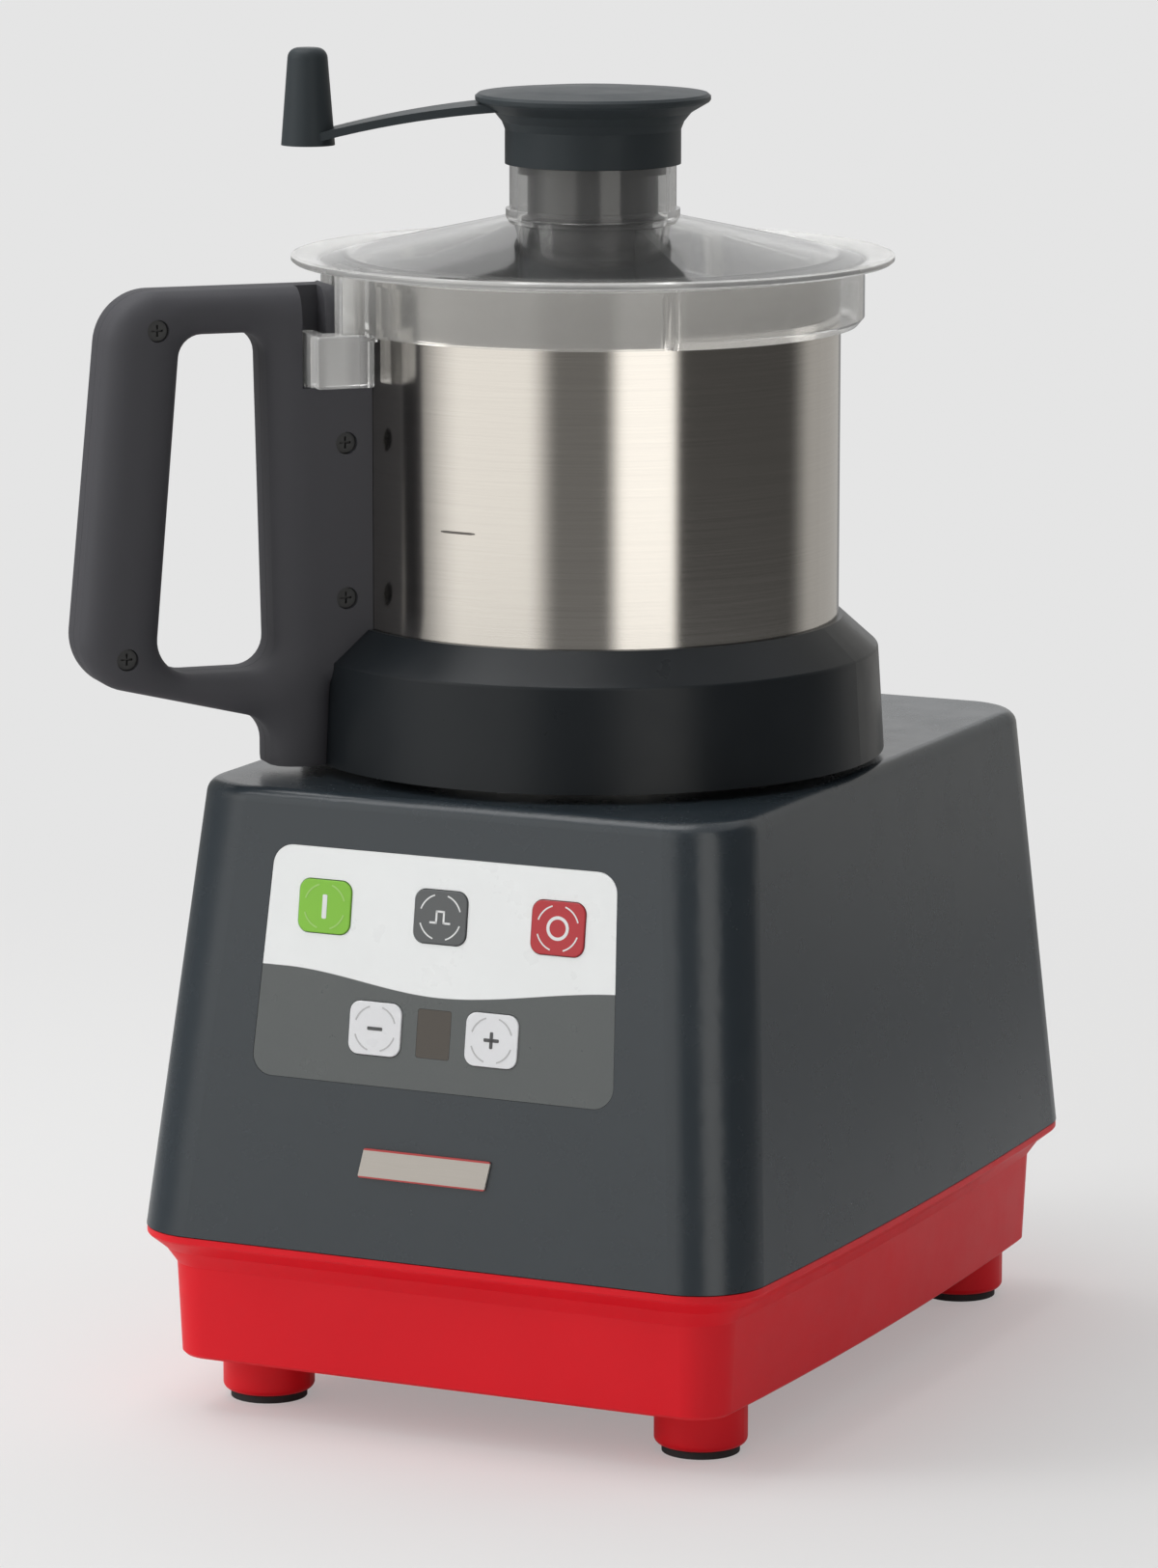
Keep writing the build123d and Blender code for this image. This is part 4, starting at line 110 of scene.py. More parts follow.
HANDLE_SQUARE_S, HANDLE_SQUARE_Z = 106.3, 244.8
OUTER_ROUND, OUTER_DROP = 12.5, 8.5
HOLE_ROUND, HOLE_DROP = 13.5, 7.5
RINGS = (0.12, 0.5, 1.1, 1.9, 2.9, 4.1, 5.5, 7.1, 8.9, 10.8, 12.6)
PARTING = 0.25
SHEET_S, SHEET_Z, SHEET_STEP = (96.5, 206), (246, 424), 3.0

# ---- What is cut out of the handle: radius and heights, or limits along s, o and z ----
COLLAR_PROFILE = ((111.85, 243.85), (109.35, 283.0), (95.95, 295.07))
BOWL_CUT = (94.1, 268.0, 410.0)
BRACKET_SLOT = (90.0, 109.8, -1.6, 1.6, 299.7, 380.3)
BRACKET_PAD = (90.0, 95.3, -11.2, 11.2, 297.7, 382.3)
ROD_PLACE = (115.6, 8.5)
ROD_BORE = (2.35, 247.5, 388.0)
SPRING_BORE = (3.75, 318.0, 343.0)
LATCH_NOTCH = (110.8, 120.0, 3.4, 16.5, 387.0, 426.0)
RECESS_RADIUS, RECESS_DEPTH = 4.2, (10.5, 16.5)
RECESS_PLACES = ((103.0, 307.5), (103.0, 366.0), (175.5, 410.5), (188.5, 288.5))


# ---------------------------------------------------------------- small tools
def new_material(name):
    mat = bpy.data.materials.new(name)
    mat.use_nodes = True
    tree = mat.node_tree
    return mat, tree, tree.nodes["Principled BSDF"]


def node(tree, kind, **values):
    """A node of a kind, with its properties or its input sockets set by name."""
    made = tree.nodes.new(kind)
    for key, value in values.items():
        if hasattr(made, key):
            setattr(made, key, value)
        else:
            made.inputs[key.replace("_", " ")].default_value = value
    return made


def link(tree, out, into):
    tree.links.new(out, into)


def math_node(tree, operation, a, b):
    """A Math node on sockets or numbers; gives its output socket."""
    made = tree.nodes.new("ShaderNodeMath")
    made.operation = operation
    for slot_index, value in enumerate((a, b)):
        if isinstance(value, (int, float)):
            made.inputs[slot_index].default_value = value
        else:
            link(tree, value, made.inputs[slot_index])
    return made.outputs[0]


def object_coords(tree, stretch=(1, 1, 1)):
    """Object coordinates in metres, stretched along each axis."""
    coords = node(tree, "ShaderNodeTexCoord")
    mapping = node(tree, "ShaderNodeMapping")
    mapping.inputs["Scale"].default_value = stretch
    link(tree, coords.outputs["Object"], mapping.inputs["Vector"])
    return mapping.outputs["Vector"]


def noise(tree, scale, detail=3.0, roughness=0.55, stretch=(1, 1, 1)):
    """A noise value between 0 and 1 over object coordinates; scale counts features a metre."""
    made = node(tree, "ShaderNodeTexNoise", Scale=scale, Detail=detail, Roughness=roughness)
    link(tree, object_coords(tree, stretch), made.inputs["Vector"])
    return made.outputs["Fac"]


def ranged(tree, value, low, high, to_low, to_high, smooth=False):
    made = node(tree, "ShaderNodeMapRange")
    made.interpolation_type = "SMOOTHSTEP" if smooth else "LINEAR"
    made.clamp = True
    link(tree, value, made.inputs["Value"])
    for key, number in (("From Min", low), ("From Max", high), ("To Min", to_low), ("To Max", to_high)):
        made.inputs[key].default_value = number
    return made.outputs["Result"]


def mix_colour(tree, factor, a, b):
    """Mixes two colours, each a tuple or a socket."""
    made = node(tree, "ShaderNodeMix")
    made.data_type = "RGBA"
    if isinstance(factor, (int, float)):
        made.inputs["Factor"].default_value = factor
    else:
        link(tree, factor, made.inputs["Factor"])
    for socket, value in ((made.inputs[6], a), (made.inputs[7], b)):
        if isinstance(value, tuple):
            socket.default_value = (*value[:3], 1.0)
        else:
            link(tree, value, socket)
    return made.outputs[2]


def bump(tree, shader, height, strength, distance):
    made = node(tree, "ShaderNodeBump", Strength=strength, Distance=distance)
    link(tree, height, made.inputs["Height"])
    link(tree, made.outputs["Normal"], shader.inputs["Normal"])


def plastic(name, colour, rough, grain=2200.0, grain_depth=0.03, variation=0.08, coat=0.0, specular=0.5):
    """A moulded or painted surface: fine grain, soft colour drift and smudged gloss."""
    mat, tree, shader = new_material(name)
    drift = noise(tree, 14.0, 2.0)
    dark = tuple(c * (1 - variation) for c in colour)
    light = tuple(min(c * (1 + variation), 1.0) for c in colour)
    link(tree, mix_colour(tree, drift, dark, light), shader.inputs["Base Color"])
    smudge = noise(tree, 55.0, 4.0, 0.6)
    gloss = ranged(tree, smudge, 0.25, 0.75, rough * 0.88, min(rough * 1.14, 1.0))
    link(tree, gloss, shader.inputs["Roughness"])
    bump(tree, shader, noise(tree, grain, 2.0, 0.5), grain_depth, 0.0006)
    shader.inputs["Specular IOR Level"].default_value = specular
    shader.inputs["Coat Weight"].default_value = coat
    shader.inputs["Coat Roughness"].default_value = 0.12
    return mat


def metal(name, colour, rough, brushing=None, grain=0.05, anisotropy=0.0, contrast=0.14):
    """A metal with fine lines; brushing stretches the noise so that its lines run the other two ways."""
    mat, tree, shader = new_material(name)
    shader.inputs["Metallic"].default_value = 1.0
    stretch = brushing or (1, 1, 1)
    lines = noise(tree, 6.0 if brushing else 900.0, 5.0, 0.7, stretch)
    dark = tuple(c * (1 - contrast) for c in colour)
    link(tree, mix_colour(tree, lines, dark, colour), shader.inputs["Base Color"])
    link(tree, ranged(tree, lines, 0.2, 0.8, rough * 0.8, rough * 1.25), shader.inputs["Roughness"])
    bump(tree, shader, lines, grain, 0.0004)
    if anisotropy:
        shader.inputs["Anisotropic"].default_value = anisotropy
        tangent = node(tree, "ShaderNodeTangent")
        tangent.direction_type = "RADIAL"
        tangent.axis = "Z"
        shader.inputs["Anisotropic Rotation"].default_value = 0.25
        link(tree, tangent.outputs["Tangent"], shader.inputs["Tangent"])
    return mat


def clear_plastic(name, tint, rough):
    """Clear plastic gone a little milky with washing, and milkier at its thick rim as a painted highlight;
    light passes it to reach what is inside.
    """
    mat, tree, shader = new_material(name)
    shader.inputs["Base Color"].default_value = (*tint, 1.0)
    reach = node(tree, "ShaderNodeVectorMath")
    reach.operation = "LENGTH"
    link(tree, object_coords(tree, (1, 1, 0)), reach.inputs[0])
    skirt = ranged(tree, reach.outputs["Value"], 0.094, 0.0965, CLEAR_DOME, CLEAR_SKIRT)
    # the thick rim is made less clear, so it shows its milky white: a painted highlight standing for the light
    # that the thick clear rim catches
    rim = ranged(tree, reach.outputs["Value"], 0.1035, 0.1065, 0.0, CLEAR_SKIRT - CLEAR_RIM)
    link(tree, math_node(tree, "SUBTRACT", skirt, rim), shader.inputs["Transmission Weight"])
    path = node(tree, "ShaderNodeLightPath")
    through = node(tree, "ShaderNodeBsdfTransparent", Color=(0.86, 0.86, 0.85, 1.0))
    chosen = node(tree, "ShaderNodeMixShader")
    link(tree, path.outputs["Is Shadow Ray"], chosen.inputs["Fac"])
    link(tree, shader.outputs[0], chosen.inputs[1])
    link(tree, through.outputs[0], chosen.inputs[2])
    link(tree, chosen.outputs[0], tree.nodes["Material Output"].inputs["Surface"])
    shader.inputs["IOR"].default_value = 1.49
    smudge = noise(tree, 60.0, 4.0, 0.65)
    link(tree, ranged(tree, smudge, 0.35, 0.75, rough, rough * 3.0), shader.inputs["Roughness"])
    bump(tree, shader, noise(tree, 25.0, 2.0), 0.03, 0.002)
    return mat


def dress(names, mat):
    """Gives CAD nodes a material in all their slots."""
    for name in names:
        mesh = NODES[name].data
        mesh.materials.clear()
        mesh.materials.append(mat)


def piece(name, mesh, mat, body, stands_for=()):
    """Adds a mesh as a piece of the object that moves with a body."""
    obj = bpy.data.objects.new(name, mesh)
    bpy.context.scene.collection.objects.link(obj)
    mesh.materials.append(mat)
    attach(obj, body)
    if stands_for:
        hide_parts(*stands_for)
    return obj


# ---------------------------------------------------------------- camera, floor and light
def make_camera():
    data = bpy.data.cameras.new("camera")
    data.sensor_width = SENSOR
    data.lens = FOCAL_PIXELS * SENSOR / FRAME_HEIGHT
    data.clip_end = 60.0
    camera = bpy.data.objects.new("camera", data)
    axes = Matrix((CAMERA_RIGHT, CAMERA_UP, CAMERA_BACK)).transposed()
    camera.matrix_world = Matrix.Translation(CAMERA_AT) @ axes.to_4x4()
    bpy.context.scene.collection.objects.link(camera)
    bpy.context.scene.camera = camera


def make_world():
    world = bpy.data.worlds.new("studio")
    bpy.context.scene.world = world
    world.use_nodes = True
    tree = world.node_tree
    light = tree.nodes["Background"]
    light.inputs["Color"].default_value = (1.0, 0.995, 0.985, 1.0)
    coords = node(tree, "ShaderNodeTexCoord")
    split = node(tree, "ShaderNodeSeparateXYZ")
    link(tree, coords.outputs["Generated"], split.inputs[0])
    strength = ranged(tree, split.outputs["X"], -0.2, 0.8,
                      WORLD_LIGHT, WORLD_LIGHT * WORLD_RIGHT, smooth=True)
    link(tree, strength, light.inputs["Strength"])
    seen = node(tree, "ShaderNodeBackground", Color=(*BACKDROP, 1.0), Strength=1.0)
    path = node(tree, "ShaderNodeLightPath")
    eye = math_node(tree, "MAXIMUM", path.outputs["Is Camera Ray"], path.outputs["Is Glossy Ray"])
    eye = math_node(tree, "MAXIMUM", eye, path.outputs["Is Transmission Ray"])
    chosen = node(tree, "ShaderNodeMixShader")
    link(tree, eye, chosen.inputs["Fac"])
    link(tree, light.outputs[0], chosen.inputs[1])
    link(tree, seen.outputs[0], chosen.inputs[2])
    link(tree, chosen.outputs[0], tree.nodes["World Output"].inputs["Surface"])


def make_floor():
    """A pale floor that takes the object's shadow, and turns into the plain backdrop further out."""
    mesh = bpy.data.meshes.new("floor")
    r = FLOOR_REACH
    mesh.from_pydata([(-r, -r, 0), (r, -r, 0), (r, r, 0), (-r, r, 0)], [], [(0, 1, 2, 3)])
    floor = bpy.data.objects.new("floor", mesh)
    bpy.context.scene.collection.objects.link(floor)
    mat, tree, shader = new_material("floor")
    shader.inputs["Base Color"].default_value = (FLOOR_ALBEDO, FLOOR_ALBEDO, FLOOR_ALBEDO, 1)
    shader.inputs["Roughness"].default_value = 0.7
    shader.inputs["Specular IOR Level"].default_value = 0.1
    glow = node(tree, "ShaderNodeEmission", Color=(*BACKDROP, 1.0))
    coords = node(tree, "ShaderNodeTexCoord")
    length = node(tree, "ShaderNodeVectorMath")
    length.operation = "LENGTH"
    link(tree, coords.outputs["Object"], length.inputs[0])
    fade = ranged(tree, length.outputs["Value"], *FLOOR_FADE, FLOOR_LIFT, 1.0, smooth=True)
    path = node(tree, "ShaderNodeLightPath")
    unlit = math_node(tree, "SUBTRACT", 1.0, path.outputs["Is Diffuse Ray"])
    chosen = node(tree, "ShaderNodeMixShader")
    link(tree, math_node(tree, "MULTIPLY", fade, unlit), chosen.inputs["Fac"])
    seen = math_node(tree, "SUBTRACT", 1.0, math_node(tree, "MULTIPLY", path.outputs["Is Glossy Ray"], 0.65))
    link(tree, seen, glow.inputs["Strength"])
    link(tree, shader.outputs[0], chosen.inputs[1])
    link(tree, glow.outputs[0], chosen.inputs[2])
    link(tree, chosen.outputs[0], tree.nodes["Material Output"].inputs["Surface"])
    mesh.materials.append(mat)


def aim(obj, at, target):
    obj.location = at
    obj.rotation_euler = (Vector(target) - Vector(at)).to_track_quat("-Z", "Y").to_euler()


def softbox(name, at, target, width, height, watts):
    data = bpy.data.lights.new(name, "AREA")
    data.shape = "RECTANGLE"
    data.size = width
    data.size_y = height
    data.energy = watts
    light = bpy.data.objects.new(name, data)
    bpy.context.scene.collection.objects.link(light)
    aim(light, at, target)


def make_lights():
    for name, at, width, height, watts in LAMPS:
        softbox(name, at, LAMP_TARGET, width, height, watts)


# What the steel and the gloss reflect: an upright wall of plain studio cards round the object, seen in
# reflections only. Each card has its first and last bearing, counted from the camera's, and one brightness.
WALL_DISTANCE = 1.5
WALL_LOW, WALL_HIGH = 0.002, 1.6
WALL_CARDS = (
    (-160, -90, 0.20),  # dim side
    (-60, -30, 1.30),   # left softbox
    (-15, 5, 0.20),     # gap
    (15, 35, 1.75),     # strip light
    (40, 100, 0.08),    # dark side
    (120, 160, 0.50),   # pale side
)
WALL_GLOW = [pair for first, last, glow in WALL_CARDS for pair in ((first, glow), (last, glow))]
WALL_STEP = 1.0
WALL_WARMTH = (1.0, 0.975, 0.93)


def wall_glow(bearing):
    for (a, glow_a), (b, glow_b) in zip(WALL_GLOW, WALL_GLOW[1:]):
        if bearing <= b:
            share = (bearing - a) / (b - a)
            return glow_a + (glow_b - glow_a) * share * share * (3 - 2 * share)
    return WALL_GLOW[-1][1]


def make_reflection_wall():
    camera_bearing = math.degrees(math.atan2(CAMERA_AT.y, CAMERA_AT.x))
    first, last = WALL_GLOW[0][0], WALL_GLOW[-1][0]
    count = round((last - first) / WALL_STEP)
    points, faces, glows = [], [], []
    for i in range(count + 1):
        bearing = first + (last - first) * i / count
        angle = math.radians(camera_bearing + bearing)
        x, y = WALL_DISTANCE * math.cos(angle), WALL_DISTANCE * math.sin(angle)
        points += [(x, y, WALL_LOW), (x, y, WALL_HIGH)]
        glows += [wall_glow(bearing)] * 2
    for i in range(count):
        faces.append((2 * i, 2 * i + 2, 2 * i + 3, 2 * i + 1))
    mesh = bpy.data.meshes.new("reflection_wall")
    mesh.from_pydata(points, [], faces)
    glow = mesh.attributes.new("glow", "FLOAT", "POINT")
    glow.data.foreach_set("value", glows)
    wall = bpy.data.objects.new("reflection_wall", mesh)
    bpy.context.scene.collection.objects.link(wall)
    mat, tree, _ = new_material("reflection_wall")
    strength = node(tree, "ShaderNodeAttribute")
    strength.attribute_name = "glow"
    light = node(tree, "ShaderNodeEmission", Color=(*WALL_WARMTH, 1.0))
    link(tree, strength.outputs["Fac"], light.inputs["Strength"])
    link(tree, light.outputs[0], tree.nodes["Material Output"].inputs["Surface"])
    mesh.materials.append(mat)
    wall.visible_camera = False
    wall.visible_diffuse = False
    wall.visible_shadow = False
    wall.visible_transmission = False


# ---------------------------------------------------------------- materials of the CAD nodes
def wave_height(tree, x):
    """The panel's colour border: it falls from the left to a trough, then rises gently."""
    fall = ranged(tree, x, *WAVE_FALL_SPAN, 0.0, WAVE_FALL, smooth=True)
    rise = ranged(tree, x, *WAVE_RISE_SPAN, 0.0, WAVE_RISE, smooth=True)
    return math_node(tree, "ADD", math_node(tree, "SUBTRACT", WAVE_LEFT_Z, fall), rise)


def panel_film():
    mat, tree, shader = new_material("panel_film")
    split = node(tree, "ShaderNodeSeparateXYZ")
    link(tree, object_coords(tree), split.inputs[0])
    above = math_node(tree, "SUBTRACT", split.outputs["Z"], wave_height(tree, split.outputs["X"]))
    side = ranged(tree, above, -0.00015, 0.00015, 0.0, 1.0)
    grain = noise(tree, 1500.0, 2.0)
    grey = mix_colour(tree, grain, (0.084, 0.094, 0.095), (0.098, 0.108, 0.109))
    white = mix_colour(tree, noise(tree, 30.0), (0.84, 0.86, 0.86), (0.90, 0.92, 0.92))
    link(tree, mix_colour(tree, side, grey, white), shader.inputs["Base Color"])
    link(tree, ranged(tree, noise(tree, 70.0, 4.0), 0.3, 0.7, 0.26, 0.34), shader.inputs["Roughness"])
    bump(tree, shader, grain, 0.02, 0.0003)
    return mat


def badge_finish():
    """A bare warm-grey plate with a thin red line along its top and bottom."""
    low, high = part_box("badge_plate")
    edge = 0.65 * MM
    mat, tree, shader = new_material("bare_badge")
    split = node(tree, "ShaderNodeSeparateXYZ")
    link(tree, object_coords(tree), split.inputs[0])
    from_low = math_node(tree, "SUBTRACT", split.outputs["Z"], low.z)
    from_high = math_node(tree, "SUBTRACT", high.z, split.outputs["Z"])
    inside = math_node(tree, "MINIMUM", from_low, from_high)
    face = ranged(tree, inside, edge, edge + 0.0001, 0.0, 1.0)
    lines = noise(tree, 5.0, 4.0, 0.7, (10, 10, 700))
    brushed = mix_colour(tree, lines, (0.42, 0.39, 0.35), (0.50, 0.47, 0.43))
    link(tree, mix_colour(tree, face, (0.42, 0.05, 0.05), brushed), shader.inputs["Base Color"])
    shader.inputs["Roughness"].default_value = 0.4
    shader.inputs["Metallic"].default_value = 0.25
    return mat


def dress_nodes():
    graphite = plastic("graphite_paint", (0.025, 0.034, 0.042), 0.26, grain=1900, variation=0.05)
    dress(["housing_shell"], graphite)
    dress(["base_plinth"], plastic("red_base", (0.76, 0.006, 0.016), 0.40, grain=900, specular=0.22))
    dress(["foot_pads"], plastic("foot_rubber", (0.018, 0.018, 0.019), 0.75, grain=1500, grain_depth=0.2))
    dress(["panel_overlay"], panel_film())
    dress(["badge_plate"], badge_finish())
    dress(["key_start"], plastic("green_key", (0.215, 0.530, 0.030), 0.30, coat=0.2))
    dress(["key_pulse"], plastic("grey_key", (0.085, 0.092, 0.096), 0.32, coat=0.2))
    dress(["key_stop"], plastic("red_key", (0.460, 0.014, 0.024), 0.30, coat=0.2))
    dress(["key_minus", "key_plus"], plastic("white_key", (0.77, 0.78, 0.80), 0.30, coat=0.2, variation=0.03))
    dress(["display_window"], plastic("display_smoke", (0.050, 0.041, 0.032), 0.16, coat=0.2))
    fine = {"grain": 1700, "grain_depth": 0.02}
    dress(["bowl_collar"], plastic("collar_plastic", (0.013, 0.016, 0.019), 0.30, specular=0.22, **fine))
    handle = plastic("handle_plastic", (0.012, 0.013, 0.0145), 0.30, specular=0.28, **fine)
    dress(["handle_front_half", "handle_rear_half"], handle)
    crank = plastic("crank_plastic", (0.042, 0.050, 0.055), 0.40, grain=1700, specular=0.10)
    dress(["crank_handle"], crank)
    dark_hub = plastic("scraper_plastic", (0.008, 0.0085, 0.010), 0.36, grain=1500, grain_depth=0.06)
    dress(["scraper_hub", "scraper_arms"], dark_hub)
    bowl = metal("bowl_steel", (0.66, 0.635, 0.60), 0.13, brushing=(2, 2, 420), grain=0.03, anisotropy=0.7,
                 contrast=0.24)
    dress(["steel_bowl", "bowl_chimney"], bowl)
    knife = metal("knife_steel", (0.66, 0.66, 0.67), 0.18, brushing=(40, 40, 400))
    dress(["lower_blade", "upper_blade"], knife)
    screws = metal("screw_steel", (0.50, 0.50, 0.51), 0.30)
    dress(["handle_screws"], plastic("dark_screw", (0.020, 0.021, 0.022), 0.45))
    dress(["base_screws", "board_screws", "motor_tie_rods", "seat_screws", "collar_screws",
           "power_board_screws", "crank_screw", "rod_spring"], screws)
    shaft = metal("shaft_steel", (0.58, 0.58, 0.59), 0.22)
    dress(["motor_shaft", "interlock_rod", "rod_magnet", "handle_bracket"], shaft)
    dress(["upper_bearing", "lower_bearing"], metal("bearing_steel", (0.62, 0.62, 0.63), 0.12))
    lamination = metal("lamination_steel", (0.25, 0.25, 0.26), 0.45, brushing=(1, 1, 1200))
    dress(["motor_stator", "rotor_core"], lamination)
    dress(["motor_windings"], metal("copper_wire", (0.72, 0.32, 0.14), 0.30, brushing=(1, 1, 900)))
    dress(["upper_end_shield", "lower_end_shield", "heat_sink", "bowl_seat"],
          metal("cast_aluminium", (0.62, 0.63, 0.64), 0.42, grain=0.2))
    dress(["lid"], clear_plastic("clear_lid", (0.985, 0.985, 0.975), 0.035))
    dress(["lid_gasket", "wiper_blades"], plastic("silicone", (0.62, 0.62, 0.60), 0.5, grain=1200))
    board = plastic("circuit_board", (0.015, 0.150, 0.055), 0.35, grain=2600, grain_depth=0.15)
    dress(["control_board", "power_board"], board)
    black = plastic("moulded_black", (0.024, 0.024, 0.026), 0.48, grain=1500, grain_depth=0.10)
    dress(["vent_grille", "cable_gland", "cooling_fan", "key_switches", "reed_switch", "display_module",
           "knife_hub", "blade_spacers", "hub_cap"], black)
    dress(["shaft_seal"], plastic("seal_rubber", (0.020, 0.020, 0.021), 0.7, grain=1500, grain_depth=0.15))


# ---------------------------------------------------------------- handle
def rounded_loop(corners, step=2.0):
    """A closed outline with its corners rounded, as points about a step apart."""
    runs = []
    for i, (x, y, r) in enumerate(corners):
        here = Vector((x, y))
        before = (Vector(corners[i - 1][:2]) - here).normalized()
        after = (Vector(corners[(i + 1) % len(corners)][:2]) - here).normalized()
        if not r:
            runs.append([here])
            continue
        half = before.angle(after) / 2
        centre = here + (before + after).normalized() * (r / math.sin(half))
        start = here + before * (r / math.tan(half)) - centre
        end = here + after * (r / math.tan(half)) - centre
        turn = math.atan2(start.cross(end), start.dot(end))
        count = max(4, math.ceil(abs(turn) * r / step))
        runs.append([centre + Matrix.Rotation(turn * k / count, 2) @ start for k in range(count + 1)])
    points = []
    for i, run in enumerate(runs):
        points += run
        nearest = runs[(i + 1) % len(runs)][0]
        gap = nearest - run[-1]
        count = max(1, round(gap.length / step))
        points += [run[-1] + gap * k / count for k in range(1, count)]
    return numpy.array([tuple(p) for p in points])


def distance(points, starts, ends):
    """The distance of each point from the nearest of some straight pieces."""
    along = ends - starts
    rel = points[:, None, :] - starts[None, :, :]
    share = (rel * along).sum(2) / numpy.maximum((along * along).sum(1), 1e-12)
    off = rel - numpy.clip(share, 0, 1)[:, :, None] * along
    return numpy.sqrt((off * off).sum(2)).min(1)


def within(points, loop):
    """Which points lie inside a closed outline."""
    x0, y0 = loop[:, 0], loop[:, 1]
    x1, y1 = numpy.roll(x0, -1), numpy.roll(y0, -1)
    px, py = points[:, 0][:, None], points[:, 1][:, None]
    crosses = (y0 > py) != (y1 > py)
    at = x0 + (py - y0) * (x1 - x0) / numpy.where(y1 == y0, 1e-12, y1 - y0)
    return (crosses & (px < at)).sum(1) % 2 == 1


def loop_normals(loop, outwards):
    """Unit normals of a closed outline at its points, to its own outside or inside."""
    tangent = numpy.roll(loop, -1, 0) - numpy.roll(loop, 1, 0)
    normal = numpy.stack((tangent[:, 1], -tangent[:, 0]), 1)
    normal /= numpy.linalg.norm(normal, axis=1)[:, None]
    leaves = ~within(loop + normal * 0.05, loop)
    return numpy.where((leaves == outwards)[:, None], normal, -normal)


def meshed(outer, hole, inner_points):
    """Triangles that fill the space between two outlines, through some points; gives points and faces."""
    points = numpy.concatenate((outer, hole, inner_points))
    n, m = len(outer), len(hole)
    edges = [(i, (i + 1) % n) for i in range(n)] + [(n + i, n + (i + 1) % m) for i in range(m)]
    found = geometry.delaunay_2d_cdt([Vector(p) for p in points.tolist()], edges, [], 0, 1e-6)
    assert len(found[0]) == len(points)
    placed = numpy.array([tuple(p) for p in found[0]])
    order = [ids[0] for ids in found[3]]
    middles = numpy.array([placed[list(face)].mean(0) for face in found[2]])
    keep = within(middles, outer) & ~within(middles, hole)
    faces = [tuple(order[v] for v in face) for face, kept in zip(found[2], keep) if kept]
    return points, faces


def handle_point(s, o, z):
    return (HANDLE_S * s + HANDLE_O * o + Vector((0, 0, z))) * MM


def cheek_height(points, outer, hole):
    """How far the handle's cheek stands out from the parting plane at some points."""
    ends = numpy.roll(outer, -1, 0)
    soft = numpy.minimum(outer, ends)
    soft = (soft[:, 0] > HANDLE_SQUARE_S) & (numpy.maximum(outer[:, 1], ends[:, 1]) > HANDLE_SQUARE_Z)
    height = numpy.full(len(points), HANDLE_HALF)
    for starts, stops, wide, drop in ((outer[soft], ends[soft], OUTER_ROUND, OUTER_DROP),
                                      (hole, numpy.roll(hole, -1, 0), HOLE_ROUND, HOLE_DROP)):
        away = numpy.clip(1 - distance(points, starts, stops) / wide, 0, 1)
        height -= drop * (1 - numpy.sqrt(1 - away * away))
    return height


def thinned(points, gap):
    """The points with those left out that crowd an earlier one."""
    seen, kept = set(), []
    for point in points:
        cell = (round(point[0] / gap), round(point[1] / gap))
        near = any((cell[0] + i, cell[1] + j) in seen for i in (-1, 0, 1) for j in (-1, 0, 1))
        if not near:
            seen.add(cell)
            kept.append(point)
    return numpy.array(kept)


def handle_cheek(name, side):
    """One half of the handle as a closed mesh: soft round edges, a flat back and a fine parting groove."""
    outer, hole = rounded_loop(HANDLE_LOOP), rounded_loop(HANDLE_HOLE)
    out_normal, in_normal = loop_normals(outer, True), loop_normals(hole, False)
    rims = [outer - out_normal * d for d in RINGS] + [hole - in_normal * d for d in RINGS]
    loops = numpy.concatenate((outer, hole))
    ends = numpy.concatenate((numpy.roll(outer, -1, 0), numpy.roll(hole, -1, 0)))
    inner = []
    for d, rim in zip(RINGS + RINGS, rims):
        away = distance(rim, loops, ends)
        inner.append(rim[(away > d - 0.02) & within(rim, outer) & ~within(rim, hole)])
    across, up = numpy.meshgrid(numpy.arange(*SHEET_S, SHEET_STEP), numpy.arange(*SHEET_Z, SHEET_STEP))
    grid = numpy.stack((across.ravel(), up.ravel()), 1)
    away = distance(grid, loops, ends)
    grid = grid[(away > RINGS[-1] + 1.0) & within(grid, outer) & ~within(grid, hole)]
    inner = thinned(numpy.concatenate(inner + [grid]), 0.35)
    points, faces = meshed(outer, hole, inner)
    height = cheek_height(points, outer, hole)
    back_outer, back_hole = outer - out_normal * PARTING, hole - in_normal * PARTING
    back_points, back_faces = meshed(back_outer, back_hole, numpy.zeros((0, 2)))
    built = bmesh.new()
    top = [built.verts.new(handle_point(s, side * h, z)) for (s, z), h in zip(points, height)]
    edge = [built.verts.new(handle_point(s, side * PARTING, z)) for s, z in loops]
    back = [built.verts.new(handle_point(s, 0, z)) for s, z in back_points]
    for face in faces:
        built.faces.new([top[v] for v in face])
    for face in back_faces:
        built.faces.new([back[v] for v in face])
    n, m = len(outer), len(hole)
    for first, count in ((0, n), (n, m)):
        for i in range(count):
            a, b = first + i, first + (i + 1) % count
            built.faces.new((top[a], top[b], edge[b], edge[a]))
            built.faces.new((edge[a], edge[b], back[b], back[a]))
    bmesh.ops.recalc_face_normals(built, faces=built.faces)
    mesh = bpy.data.meshes.new(name)
    built.to_mesh(mesh)
    built.free()
    return mesh


def cutter_mesh(name, rings):
    """A closed mesh through rings of points, each with as many points as the next."""
    built = bmesh.new()
    rows = [[built.verts.new(point) for point in ring] for ring in rings]
    count = len(rows[0])
    for low, high in zip(rows, rows[1:]):
        for i in range(count):
            j = (i + 1) % count
            built.faces.new((low[i], low[j], high[j], high[i]))
    built.faces.new(rows[0])
    built.faces.new(rows[-1])
    bmesh.ops.recalc_face_normals(built, faces=built.faces)
    mesh = bpy.data.meshes.new(name)
    built.to_mesh(mesh)
    built.free()
    return mesh


